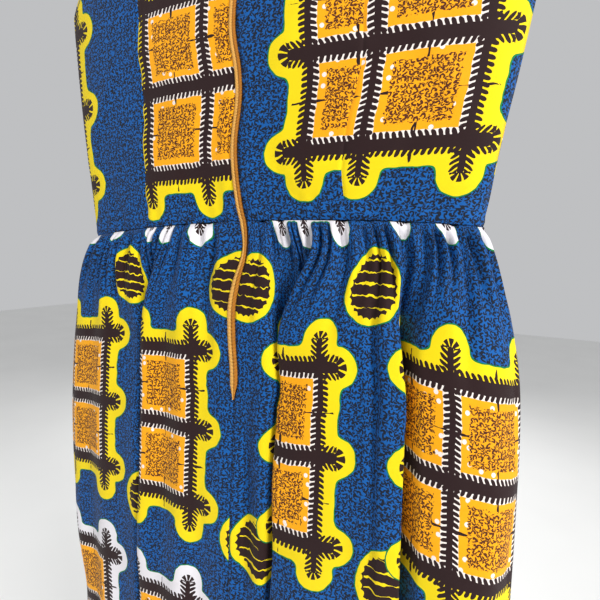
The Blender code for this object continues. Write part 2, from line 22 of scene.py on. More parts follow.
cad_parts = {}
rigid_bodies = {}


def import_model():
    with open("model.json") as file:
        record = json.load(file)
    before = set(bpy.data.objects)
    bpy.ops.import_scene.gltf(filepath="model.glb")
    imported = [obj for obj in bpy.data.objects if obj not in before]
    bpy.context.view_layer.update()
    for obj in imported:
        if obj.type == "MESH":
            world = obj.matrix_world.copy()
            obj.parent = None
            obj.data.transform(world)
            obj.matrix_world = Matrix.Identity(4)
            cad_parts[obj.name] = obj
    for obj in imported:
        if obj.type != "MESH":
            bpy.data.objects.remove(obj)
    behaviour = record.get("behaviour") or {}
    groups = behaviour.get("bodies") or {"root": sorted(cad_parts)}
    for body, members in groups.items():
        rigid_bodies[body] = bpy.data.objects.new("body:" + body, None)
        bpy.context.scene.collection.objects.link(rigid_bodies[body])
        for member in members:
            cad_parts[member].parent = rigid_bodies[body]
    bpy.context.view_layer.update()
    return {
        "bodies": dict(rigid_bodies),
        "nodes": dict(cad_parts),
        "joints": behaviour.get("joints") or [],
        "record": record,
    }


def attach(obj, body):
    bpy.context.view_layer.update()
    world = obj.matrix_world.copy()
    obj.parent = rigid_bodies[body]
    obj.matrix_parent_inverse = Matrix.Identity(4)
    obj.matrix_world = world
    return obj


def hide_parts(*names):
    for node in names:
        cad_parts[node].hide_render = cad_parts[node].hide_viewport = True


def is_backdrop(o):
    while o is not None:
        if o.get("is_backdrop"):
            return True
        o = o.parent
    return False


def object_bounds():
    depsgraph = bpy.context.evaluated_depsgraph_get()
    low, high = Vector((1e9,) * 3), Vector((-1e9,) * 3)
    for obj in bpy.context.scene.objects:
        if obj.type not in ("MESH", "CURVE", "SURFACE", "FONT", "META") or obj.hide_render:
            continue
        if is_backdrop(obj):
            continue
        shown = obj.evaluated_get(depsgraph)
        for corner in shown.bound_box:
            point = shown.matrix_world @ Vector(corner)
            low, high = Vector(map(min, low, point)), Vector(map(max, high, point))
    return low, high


log = logging.getLogger("dress")
PointAt = Callable[[float, float], Vector]
StitchRow = list[tuple[Vector, Vector]]


# How the cloth lies. These sizes are the frame's own.


class Side(IntEnum):
    """Which half of the dress, as its back is looked at."""

    LEFT = -1
    RIGHT = 1


class Face(IntEnum):
    """Whether a panel is at the back or at the front."""

    BACK = -1
    FRONT = 1


@dataclass(frozen=True, eq=False)
class BodiceRing:
    """Half width and depths of the bodice at a height."""

    height: float
    half_width: float
    back: float
    front: float


@dataclass(frozen=True, eq=False)
class SkirtRing:
    """Sides, middle and depths of the skirt's outline at a drop."""

    drop: float
    left: float
    right: float
    middle: float
    back: float
    front: float


@dataclass(frozen=True, eq=False)
class ZipSway:
    """How far the zip lies to the right at a height."""

    height: float
    across: float


@dataclass(frozen=True, eq=False)
class ZipWidth:
    """How much of its full width the coil shows at a height."""

    height: float
    share: float


@dataclass(frozen=True, eq=False)
class Gather:
    """Which share of the waist a length of the skirt's cloth has come to."""

    cloth: float
    share: float


@dataclass(frozen=True, eq=False)
class Fold:
    """Where a fold starts, how much cloth it takes in, and how far its bottom lies in and aside."""

    start: float
    hidden: float
    inward: float
    aside: float


@dataclass(frozen=True, eq=False)
class PrintStep:
    """Where in the printed block a distance along the cloth falls."""

    cloth: float
    block: float


@dataclass(frozen=True, eq=False)
class DartStep:
    """Where a waist dart lies at a height."""

    height: float
    across: float


@dataclass(frozen=True, eq=False)
class Crease:
    """A soft trough or ridge in a panel: its middle, slope, half length, half width and depth."""

    across: float
    height: float
    slope: float
    length: float
    width: float
    depth: float


def smooth(value: float) -> float:
    """0 to 1 with a soft start and a soft end."""
    value = min(max(value, 0.0), 1.0)
    return value * value * (3.0 - 2.0 * value)


@functools.lru_cache(maxsize=None)
def columns_of(rows: tuple, key: str, wanted: str) -> tuple[list[float], list[float], list[float]]:
    """Two columns of a table, and the slope of the curve through them at each row."""
    places = [getattr(row, key) for row in rows]
    values = [getattr(row, wanted) for row in rows]
    slopes = []
    for index in range(len(rows)):
        before, after = max(index - 1, 0), min(index + 1, len(rows) - 1)
        slopes.append((values[after] - values[before]) / (places[after] - places[before]))
    return places, values, slopes


def read(rows: tuple, key: str, wanted: str, at: float) -> float:
    """Reads a table between its rows, on a smooth curve through them.

    Args:
        rows: the table's rows, in rising order of key.
        key: the column that is known.
        wanted: the column that is wanted.
        at: the place in the key's column.

    Returns:
        The wanted column's value there.
    """
    places, values, slopes = columns_of(rows, key, wanted)
    at = min(max(at, places[0]), places[-1])
    low = min(max(bisect.bisect_right(places, at) - 1, 0), len(rows) - 2)
    span = places[low + 1] - places[low]
    t = (at - places[low]) / span
    return (
        values[low] * (1 + 2 * t) * (1 - t) ** 2
        + values[low + 1] * t * t * (3 - 2 * t)
        + slopes[low] * span * t * (1 - t) ** 2
        - slopes[low + 1] * span * t * t * (1 - t)
    )


def straight(rows: tuple, key: str, wanted: str, at: float) -> float:
    """Reads a table between its rows on straight lines, carried on past both ends."""
    places, values, _ = columns_of(rows, key, wanted)
    low = min(max(bisect.bisect_right(places, at) - 1, 0), len(rows) - 2)
    slope = (values[low + 1] - values[low]) / (places[low + 1] - places[low])
    return values[low] + slope * (at - places[low])


def bezier(points: tuple, t: float) -> Vector:
    """A point on the cubic curve through the first and last of four points."""
    a, b, c, d = points
    return a * (1 - t) ** 3 + b * 3 * t * (1 - t) ** 2 + c * 3 * t * t * (1 - t) + d * t**3


def wave(place: float, length: float, wander: float = 0.0, start: float = 0.0) -> float:
    """An uneven wave from -1 to 1, whose length wanders as it goes."""
    turns = place / length + wander * math.sin(place / length * 1.7 + start * 3.1) + start
    return math.sin(math.tau * turns)


@dataclass(frozen=True)
class Cut:
    """The sizes that the whole dress shares."""

    cloth: float = 0.0016
    seam_gap: float = 0.0004
    waist_z: float = -0.520
    waist_half_width: float = 0.210
    waist_dip: float = 0.0095
    waist_rise: float = 0.0065
    waist_tilt: float = 0.037
    ring_power: float = 2.4
    zip_drop: float = 0.151
    zip_top: float = 0.398
    slot_half_width: float = 0.0034
    sways: tuple[ZipSway, ...] = (
        ZipSway(-0.300, 0.0060),
        ZipSway(-0.143, 0.0045),
        ZipSway(-0.105, 0.0000),
        ZipSway(-0.075, -0.0020),
        ZipSway(-0.050, 0.0010),
        ZipSway(-0.028, 0.0062),
        ZipSway(-0.010, 0.0052),
        ZipSway(0.022, -0.0040),
        ZipSway(0.072, -0.0100),
        ZipSway(0.116, -0.0052),
        ZipSway(0.140, -0.0062),
        ZipSway(0.180, -0.0130),
        ZipSway(0.240, -0.0085),
        ZipSway(0.310, -0.0090),
        ZipSway(0.370, -0.0020),
        ZipSway(0.410, 0.0000),
    )

    def waist_height(self, x: float) -> float:
        """Height of the waist seam at x: it dips toward the sides."""
        return -self.waist_dip * min(abs(x) / self.waist_half_width, 1.2) ** 2

    def waist_lean(self, x: float) -> float:
        """How far the cloth is pulled up at the waist at x. It fades towards the neck and the hem."""
        return self.waist_rise + self.waist_tilt * x

    def slot_edge(self, side: Side, height: float) -> float:
        """Where the cloth beside the zip ends, or beside the seam below the zip."""
        inside_zip = smooth((height + self.zip_drop + 0.012) / 0.012)
        half_width = self.seam_gap / 2 + (self.slot_half_width - self.seam_gap / 2) * inside_zip
        return self.sway(height) + side * half_width

    def sway(self, height: float) -> float:
        """How far the zip's middle lies to the right at a height."""
        return read(self.sways, "height", "across", height)


CUT = Cut()


# Shader maths.


class Wire:
    """A socket in a node tree, on which arithmetic adds its own nodes."""

    def __init__(self, tree: "Tree", socket: bpy.types.NodeSocket) -> None:
        """Keeps the socket and the tree that it is in."""
        self.tree = tree
        self.socket = socket

    def math(self, operation: str, *others: "Wire | float") -> "Wire":
        """This value and the others through one Math node."""
        return self.tree.node("ShaderNodeMath", {"operation": operation}, self, *others)

    def __add__(self, other: "Wire | float") -> "Wire":
        """The sum."""
        return self.math("ADD", other)

    __radd__ = __add__

    def __sub__(self, other: "Wire | float") -> "Wire":
        """The difference."""
        return self.math("SUBTRACT", other)

    def __rsub__(self, other: float) -> "Wire":
        """The difference from a number."""
        return self.tree.node("ShaderNodeMath", {"operation": "SUBTRACT"}, other, self)

    def __mul__(self, other: "Wire | float") -> "Wire":
        """The product."""
        return self.math("MULTIPLY", other)

    __rmul__ = __mul__

    def __truediv__(self, other: "Wire | float") -> "Wire":
        """The quotient."""
        return self.math("DIVIDE", other)

    def above(self, limit: "Wire | float") -> "Wire":
        """1 where this is more than the limit, 0 elsewhere."""
        return self.math("GREATER_THAN", limit)

    def below(self, limit: "Wire | float") -> "Wire":
        """1 where this is less than the limit, 0 elsewhere."""
        return self.math("LESS_THAN", limit)

    def size(self) -> "Wire":
        """This without its sign."""
        return self.math("ABSOLUTE")

    def most(self, other: "Wire | float") -> "Wire":
        """The larger of the two."""
        return self.math("MAXIMUM", other)

    def least(self, other: "Wire | float") -> "Wire":
        """The smaller of the two."""
        return self.math("MINIMUM", other)

    def melt(self, other: "Wire", width: float) -> "Wire":
        """The smaller of the two, rounded where they meet."""
        return self.math("SMOOTH_MIN", other, width)

    def reach(self, other: "Wire") -> "Wire":
        """The length of the arrow whose two sides these are."""
        return (self * self + other * other).math("SQRT")


class Tree:
    """The node tree of one material."""

    def __init__(self, name: str) -> None:
        """Starts an empty material."""
        self.material = bpy.data.materials.new(name)
        self.material.use_nodes = True
        self.nodes = self.material.node_tree.nodes
        self.links = self.material.node_tree.links
        self.shader = self.nodes["Principled BSDF"]

    def node(self, kind: str, settings: dict, *values: object, out: int | str = 0, **named: object) -> Wire:
        """Adds a node.

        Args:
            kind: the node's type.
            settings: its own settings, set before its sockets.
            *values: numbers, colours or wires for its sockets in order.
            out: the output that is wanted.
            **named: more sockets, by name.

        Returns:
            The wanted output.
        """
        made = self.nodes.new(kind)
        for key, value in settings.items():
            setattr(made, key, value)
        pairs = list(zip(made.inputs, values))
        pairs += [(made.inputs[key.replace("_", " ")], value) for key, value in named.items()]
        for socket, value in pairs:
            if isinstance(value, Wire):
                self.links.new(value.socket, socket)
            else:
                socket.default_value = value
        return Wire(self, made.outputs[out])

    def mix(self, mask: Wire, first: object, second: object) -> Wire:
        """The first colour where the mask is 0 and the second where it is 1."""
        mixer = self.nodes.new("ShaderNodeMix")
        mixer.data_type = "RGBA"
        self.links.new(mask.socket, mixer.inputs[0])
        for socket, value in ((mixer.inputs[6], first), (mixer.inputs[7], second)):
            if isinstance(value, Wire):
                self.links.new(value.socket, socket)
            else:
                socket.default_value = (*value, 1.0)
        return Wire(self, mixer.outputs[2])

    def uv(self, name: str) -> tuple[Wire, Wire, Wire]:
        """A UV map's place as a vector, its across and its up."""
        vector = self.node("ShaderNodeUVMap", {"uv_map": name})
        across = self.node("ShaderNodeSeparateXYZ", {}, vector, out=0)
        up = Wire(self, across.socket.node.outputs[1])
        return vector, across, up

    def noise(self, vector: Wire, scale: float, detail: float = 1.0) -> Wire:
        """Soft noise from 0 to 1 at a number of lumps a metre."""
        settings = {"noise_dimensions": "3D"}
        return self.node("ShaderNodeTexNoise", settings, Vector=vector, Scale=scale, Detail=detail, out=0)

    def feed(self, socket: str, value: object) -> None:
        """Sets one of the shader's sockets."""
        if isinstance(value, Wire):
            self.links.new(value.socket, self.shader.inputs[socket])
        else:
            self.shader.inputs[socket].default_value = value

    def bump(self, height: Wire, strength: float, distance: float) -> None:
        """Gives the surface fine relief."""
        made = self.node("ShaderNodeBump", {}, Strength=strength, Distance=distance, Height=height)
        self.feed("Normal", made)


Colour = tuple[float, float, float]


def srgb(red: int, green: int, blue: int) -> Colour:
    """A colour from its screen values."""

    def linear(value: int) -> float:
        """One channel as light."""
        value = value / 255
        return value / 12.92 if value <= 0.04045 else ((value + 0.055) / 1.055) ** 2.4

    return (linear(red), linear(green), linear(blue))


@dataclass(frozen=True)
class WaxPrint:
    """The printed cotton: blocks of framed squares with leafy stems on a ground of small curls."""

    ground: Colour = srgb(0, 86, 160)
    curl: Colour = srgb(8, 22, 40)
    halo: Colour = srgb(240, 212, 0)
    pale_halo: Colour = srgb(230, 226, 230)
    rim: Colour = srgb(0, 122, 62)
    dark: Colour = srgb(36, 13, 14)
    orange: Colour = srgb(248, 168, 0)
    squiggle: Colour = srgb(84, 36, 10)
    gap_white: Colour = srgb(240, 230, 222)
    low_ovals: bool = True
    low_oval_shift: float = 0.022
    column_pitch: float = 0.080
    row_pitch: float = 0.082
    repeat_across: float = 0.270
    repeat_up: float = 0.5955
    pale_shift: float = 0.317
    oval_up: float = 0.2335
    low_oval_up: float = -0.026
    band: float = 0.0027
    row_band: float = 0.0052
    tooth: float = 0.0050
    tooth_pitch: float = 0.0050
    stem: float = 0.0262
    row_stem: float = 0.0195
    lobe: float = 0.0176
    edge: float = 0.0185
    twig: float = 0.0008
    twig_bend: float = 0.004
    twig_gap: float = 0.001
    oval: float = 0.0365
    oval_ink: float = 0.0315
    unevenness: float = 0.0026
    weave: float = 0.00045

    def material(self, name: str) -> bpy.types.Material:
        """Draws the print on a panel's two UV maps, 'block' for the figures and 'cloth' for the curls.

        Args:
            name: the material's name.

        Returns:
            The finished material.
        """
        tree = Tree(name)
        cloth, cloth_u, cloth_v = tree.uv("cloth")
        _, block_u, block_v = tree.uv("block")
        wobble = tree.noise(cloth, 90.0) - 0.5
        wobble_up = tree.noise(self._shifted(tree, cloth), 90.0) - 0.5
        block_u = block_u + wobble * self.unevenness
        block_v = block_v + wobble_up * self.unevenness

        width = self.column_pitch * 2
        height = self.row_pitch * 2
        across = self._wrap(block_u, self.repeat_across, (self.repeat_across - width) / 2)
        lone = self._wrap(block_v, self.repeat_up, 0.058)
        pale = lone.above((height + self.pale_shift) / 2)
        up = lone - pale * self.pale_shift

        column = self._nearest(across, self.column_pitch)
        row = self._nearest(up, self.row_pitch)
        beside = across - column * self.column_pitch
        over = up - row * self.row_pitch
        out_across = (across * -1.0).most(across - width)
        out_up = (up * -1.0).most(up - height)

        figures = self._halo(beside, over, out_across, out_up)
        inside = out_across.below(0.0) * out_up.below(0.0)
        column_ends = out_up.above(0.0)
        row_ends = out_across.above(0.0)
        columns = self._band(beside, up, out_up, self.band, self.stem, column_ends)
        rows = self._band(over, across, out_across, self.row_band, self.row_stem, row_ends)
        core = columns[0].most(rows[0])
        teeth = columns[1].most(rows[1])
        comb = columns[2].most(rows[2])

        squiggles = self._strokes(tree, cloth, 205.0, 0.31, 0.150)
        cell_u = beside.size()
        cell_v = over.size()
        ragged = tree.noise(cloth, 420.0) * 0.006
        square = (cell_u + ragged).above(self.band + self.tooth + 0.0098)
        square = square * (cell_v + ragged).above(self.row_band + self.tooth + 0.0090)
        dots = self._dots(tree, cloth)
        cell = tree.mix(square * squiggles, self.orange, self.squiggle)
        cell = tree.mix(dots * (1.0 - square), cell, self.gap_white)
        cell = tree.mix(comb * inside, cell, self.gap_white)

        halo_colour = tree.mix(pale, self.halo, self.pale_halo)
        curls = self._strokes(tree, cloth, 195.0, 0.32, 0.170)
        ground = tree.mix(curls, self.ground, self.curl)
        ovals, oval_ink = self._ovals(tree, block_u, lone, cloth)
        ground = tree.mix(ovals.below(0.0012), ground, self.rim)
        ground = tree.mix(ovals.below(0.0), ground, self.halo)
        ground = tree.mix(oval_ink, ground, self.dark)

        colour = tree.mix(figures.below(0.0011), ground, self.rim)
        colour = tree.mix(figures.below(0.0), colour, halo_colour)
        colour = tree.mix(inside, colour, cell)
        twigs = self._twigs(beside, over, out_across, out_up, square, wobble)
        ink = core.most(teeth).most(twigs * figures.below(-0.001))
        colour = tree.mix(ink, colour, self.dark)

        fade = tree.noise(cloth, 14.0, 3.0)
        shade = tree.node("ShaderNodeMapRange", {}, fade, 0.3, 0.7, 0.93, 1.04)
        tone = tree.node("ShaderNodeCombineXYZ", {}, shade, shade, shade)
        colour = tree.node("ShaderNodeVectorMath", {"operation": "MULTIPLY"}, colour, tone)
        tree.feed("Base Color", colour)
        tree.feed("Roughness", fade * 0.10 + 0.70)
        tree.feed("Specular IOR Level", 0.25)
        tree.feed("Sheen Weight", 0.06)
        tree.feed("Sheen Roughness", 0.5)
        threads = math.tau / self.weave
        weave = (cloth_u * threads).math("SINE") * (cloth_v * threads).math("SINE")
        tree.bump(weave * 0.00004 + tree.noise(cloth, 160.0, 3.0) * 0.00030, 0.5, 1.0)
        return tree.material

    def _shifted(self, tree: Tree, vector: Wire) -> Wire:
        """The same place moved far off, for a second noise."""
        return tree.node("ShaderNodeVectorMath", {"operation": "ADD"}, vector, (3.7, 1.9, 0.4))

    def _wrap(self, value: Wire, span: float, low: float) -> Wire:
        """The value brought into one repeat that starts below zero by low."""
        return value.math("WRAP", span - low, -low)

    def _nearest(self, value: Wire, pitch: float) -> Wire:
        """The number, 0 to 2, of the nearest of three bands."""
        return (value / pitch).math("ROUND").most(0.0).least(2.0)

    def _halo(self, beside: Wire, over: Wire, out_across: Wire, out_up: Wire) -> Wire:
        """How far a place is outside the pale outline round a block, below zero inside."""
        lobes_up = beside.reach((out_up - self.stem).most(0.0)) - self.lobe
        lobes_up = lobes_up + out_up.below(0.0) * 0.02
        lobes_across = over.reach((out_across - self.row_stem).most(0.0)) - self.lobe
        lobes_across = lobes_across + out_across.below(0.0) * 0.02
        frame = out_across.most(0.0).reach(out_up.most(0.0)) - self.edge
        return frame.melt(lobes_up.melt(lobes_across, 0.006), 0.012)

    def _band(
        self, aside: Wire, along: Wire, out: Wire, core: float, stem: float, ends: Wire
    ) -> tuple[Wire, Wire, Wire]:
        """One run of bands with its teeth.

        Args:
            aside: how far a place is from the band's middle line.
            along: the place along the band.
            out: how far past the block's frame the place is along the band.
            core: the band's half width.
            stem: how far its stem sticks out.
            ends: 1 past the frame, where the band is a leafy stem.

        Returns:
            Masks of the band's body, of its dark teeth, and of the strip that the teeth stand in.
        """
        gap = aside.size()
        tip = (out - stem + core).most(0.0)
        body = (gap.reach(tip) - core).below(0.0)
        depth = (gap - core) / (self.tooth + ends * 0.0014)
        strip = depth.above(0.0) * depth.below(1.0) * out.below(stem)
        slanted = along + gap * ((1.0 - ends) * 0.35 + ends * (along.below(0.0) * 1.4 - 0.7))
        phase = (slanted / self.tooth_pitch).math("FRACT") - 0.5
        teeth = (phase / 0.36).reach((depth - 0.45).most(0.0) / 0.55).below(1.0) * strip
        crown = gap.reach((out - stem + core * 0.5).most(0.0))
        crown_turn = aside.math("ARCTAN2", out - stem + core) * 1.43 + 0.5
        crown = crown.below(core + self.tooth + 0.0004) * out.above(stem - core * 0.5)
        crown = crown * (crown_turn.math("FRACT") - 0.5).size().below(0.36)
        return body, teeth.most(crown), strip * (1.0 - ends)

    def _strokes(self, tree: Tree, cloth: Wire, scale: float, radius: float, half_width: float) -> Wire:
        """A mask of small hooked strokes, thrown every way over the cloth.

        Args:
            tree: the material's tree.
            cloth: the place on the cloth.
            scale: how many strokes stand in a metre.
            radius: each hook's radius, against the distance between two strokes.
            half_width: half the stroke's width, against the same distance.

        Returns:
            1 on a stroke and 0 off it.
        """
        flat = {"noise_dimensions": "2D"}
        bent = tree.node("ShaderNodeTexNoise", flat, Vector=cloth, Scale=scale * 0.7, out=1)
        bent = tree.node("ShaderNodeVectorMath", {"operation": "SUBTRACT"}, bent, (0.5, 0.5, 0.5))
        bent = tree.node("ShaderNodeVectorMath", {"operation": "SCALE"}, bent, Scale=0.9 / scale)
        bent = tree.node("ShaderNodeVectorMath", {"operation": "ADD"}, bent, cloth)
        hooks, away = self._hooks(tree, bent, (0.0, 0.0, 0.0), scale, radius, half_width)
        between, _ = self._hooks(tree, bent, (5.31, 2.17, 0.0), scale * 1.2, radius, half_width * 1.15)
        return hooks.most(between * away.above(radius + half_width * 1.4))

    def _hooks(
        self, tree: Tree, place: Wire, shift: tuple, scale: float, radius: float, half_width: float
    ) -> tuple[Wire, Wire]:
        """One layer of hooked strokes, and how far each place is from its hook's middle."""
        moved = tree.node("ShaderNodeVectorMath", {"operation": "ADD"}, place, shift)
        settings = {"voronoi_dimensions": "2D", "feature": "F1"}
        spots = tree.node("ShaderNodeTexVoronoi", settings, Vector=moved, Scale=scale, Randomness=0.5, out=2)
        chance = Wire(tree, spots.socket.node.outputs[1])
        away = tree.node("ShaderNodeVectorMath", {"operation": "SUBTRACT"}, moved, spots)
        side = tree.node("ShaderNodeSeparateXYZ", {}, away)
        rise = Wire(tree, side.socket.node.outputs[1])
        side, rise = side * scale, rise * scale
        far = side.reach(rise * 1.15)
        ring = (far - radius).size().below(half_width)
        turn = tree.node("ShaderNodeSeparateColor", {}, chance)
        angle = rise.math("ARCTAN2", side) / math.tau + turn
        return ring * angle.math("FRACT").below(0.76), far

    def _dots(self, tree: Tree, cloth: Wire) -> Wire:
        """A mask of a few small uneven white dots."""
        settings = {"voronoi_dimensions": "2D", "feature": "F1"}
        spots = tree.node("ShaderNodeTexVoronoi", settings, Vector=cloth, Scale=85.0, out=0)
        chance = tree.node("ShaderNodeSeparateColor", {}, Wire(tree, spots.socket.node.outputs[1]))
        return spots.below(0.17) * chance.above(0.5)

    def _ovals(self, tree: Tree, block_u: Wire, lone: Wire, cloth: Wire) -> tuple[Wire, Wire]:
        """The ovals between the blocks.

        Args:
            tree: the material's tree.
            block_u: the place across the blocks.
            lone: the place up the repeat, from just under the lowest band.
            cloth: the place on the cloth.

        Returns:
            How far a place is outside an oval, and a mask of its dark inside.
        """
        middle = self.column_pitch * 2 + (self.repeat_across - self.column_pitch * 2) / 2
        up = self._wrap(lone - self.oval_up, self.repeat_up, 0.12)
        low = up.above(0.175)
        up = up - low * (self.repeat_up - self.oval_up + self.low_oval_up)
        across = block_u - middle - low * self.low_oval_shift
        across = self._wrap(across, self.repeat_across, self.repeat_across / 2)
        stretched = across.reach(up * 1.09)
        outside = stretched - self.oval + low * (0.0 if self.low_ovals else 1.0)
        turn = up.math("ARCTAN2", across)
        scallop = (turn * 13.0).math("SINE").size() * 0.0022
        ink = (stretched + scallop).below(self.oval_ink)
        ragged = tree.noise(cloth, 130.0) * 0.006
        stripe = ((up + ragged + across * 0.10) / 0.0105).math("FRACT") - 0.5
        worn = tree.noise(self._shifted(tree, cloth), 60.0)
        gold = stripe.size().below((worn - 0.28) * 0.32) * across.size().below(0.0275)
        return outside, ink * (1.0 - gold) * outside.below(0.0)

    def _twigs(
        self, beside: Wire, over: Wire, out_across: Wire, out_up: Wire, square: Wire, wobble: Wire
    ) -> Wire:
        """A mask of the thin twigs that run out of the bands at each square's middle."""
        half_column = self.column_pitch / 2
        half_row = self.row_pitch / 2
        reach = self.edge - self.twig_gap
        level = (over.size() - half_row + wobble * self.twig_bend).size().below(self.twig)
        level = level * beside.size().above(self.band) * beside.size().below(reach) * out_up.below(0.0)
        upright = (beside.size() - half_column + wobble * self.twig_bend).size().below(self.twig)
        upright = upright * over.size().above(self.row_band) * over.size().below(reach)
        upright = upright * out_across.below(0.0)
        return level.most(upright) * (1.0 - square)


@dataclass(frozen=True)
class PlainFinish:
    """A plain finish with a little unevenness, for tape, thread, plastic and metal."""

    colour: Colour
    roughness: float
    metallic: float = 0.0
    grain: float = 600.0
    relief: float = 0.00006
    variation: float = 0.10

    def material(self, name: str) -> bpy.types.Material:
        """Makes the finish.

        Args:
            name: the material's name.

        Returns:
            The finished material.
        """
        tree = Tree(name)
        place = tree.node("ShaderNodeTexCoord", {}, out="Object")
        fine = tree.noise(place, self.grain, 3.0)
        broad = tree.noise(place, self.grain / 12, 2.0)
        darker = tuple(value * (1.0 - self.variation * 2) for value in self.colour)
        lighter = tuple(min(value * 1.05, 1.0) for value in self.colour)
        tree.feed("Base Color", tree.mix(broad, darker, lighter))
        tree.feed("Roughness", fine * 0.15 + (self.roughness - 0.07))
        tree.feed("Metallic", self.metallic)
        tree.bump(fine * self.relief, 0.6, 1.0)
        return tree.material


# Cloth shells.


@dataclass
class Shell:
    """A thin piece of cloth over a grid of columns and rows."""

    name: str
    columns: list[float]
    rows: list[float]
    point: PointAt
    relief: Callable[[float, float], float]
    cloth_uv: Callable[[float, float, int], tuple[float, float]]
    block_uv: Callable[[float, float, int], tuple[float, float]]
    turn: int = 1
    thickness: float = 0.0011

    def build(self, material: bpy.types.Material) -> bpy.types.Object:
        """Makes the shell.

        Args:
            material: its finish.

        Returns:
            The piece, with its place in its mesh.
        """
        mesh = bmesh.new()
        across, up = len(self.columns), len(self.rows)
        bmesh.ops.create_grid(mesh, x_segments=across - 1, y_segments=up - 1, size=1.0)
        places = [[self.point(column, row) for row in self.rows] for column in self.columns]
        spots = {}
        for vert in mesh.verts:
            i = round((vert.co.x + 1) / 2 * (across - 1))
            j = round((vert.co.y + 1) / 2 * (up - 1))
            spots[vert] = (i, j)
        for vert, (i, j) in spots.items():
            before, after = places[max(i - 1, 0)][j], places[min(i + 1, across - 1)][j]
            under, over = places[i][max(j - 1, 0)], places[i][min(j + 1, up - 1)]
            outward = (after - before).cross(over - under).normalized() * self.turn
            vert.co = places[i][j] + outward * self.relief(self.columns[i], self.rows[j])
        self._lay_uv(mesh, spots)
        data = bpy.data.meshes.new(self.name)
        mesh.to_mesh(data)
        mesh.free()
        data.shade_smooth()
        piece = bpy.data.objects.new(self.name, data)
        bpy.context.collection.objects.link(piece)
        piece.data.materials.append(material)
        wall = piece.modifiers.new("wall", "SOLIDIFY")
        wall.thickness = self.thickness
        wall.offset = 0.0
        return piece

    def _lay_uv(self, mesh: bmesh.types.BMesh, spots: dict) -> None:
        """Gives each face its place on the flat cloth and in the printed block."""
        cloth = mesh.loops.layers.uv.new("cloth")
        block = mesh.loops.layers.uv.new("block")
        for face in mesh.faces:
            first = min(spots[loop.vert][0] for loop in face.loops)
            for loop in face.loops:
                i, j = spots[loop.vert]
                column, row = self.columns[i], self.rows[j]
                loop[cloth].uv = self.cloth_uv(column, row, first)
                loop[block].uv = self.block_uv(column, row, first)


def even_steps(start: float, end: float, step: float) -> list[float]:
    """Places from start to end, about a step apart."""
    count = max(round(abs(end - start) / step), 1)
    return [start + (end - start) * index / count for index in range(count + 1)]


def crease_relief(creases: tuple[Crease, ...], across: float, height: float) -> float:
    """How far the creases of a panel push it out at a place, or in where they are troughs."""
    total = 0.0
    for crease in creases:
        over, up = across - crease.across, height - crease.height
        along = (up + crease.slope * over) / math.hypot(1.0, crease.slope)
        aside = (over - crease.slope * up) / math.hypot(1.0, crease.slope)
        total += crease.depth * math.exp(-((along / crease.length) ** 2) - (aside / crease.width) ** 2)
    return total


@dataclass(frozen=True, eq=False)
class PanelPrint:
    """How the print falls on a panel: before its dart, past its dart, and how high its lowest band lies."""

    before: tuple[PrintStep, ...]
    past: tuple[PrintStep, ...]
    lift: float


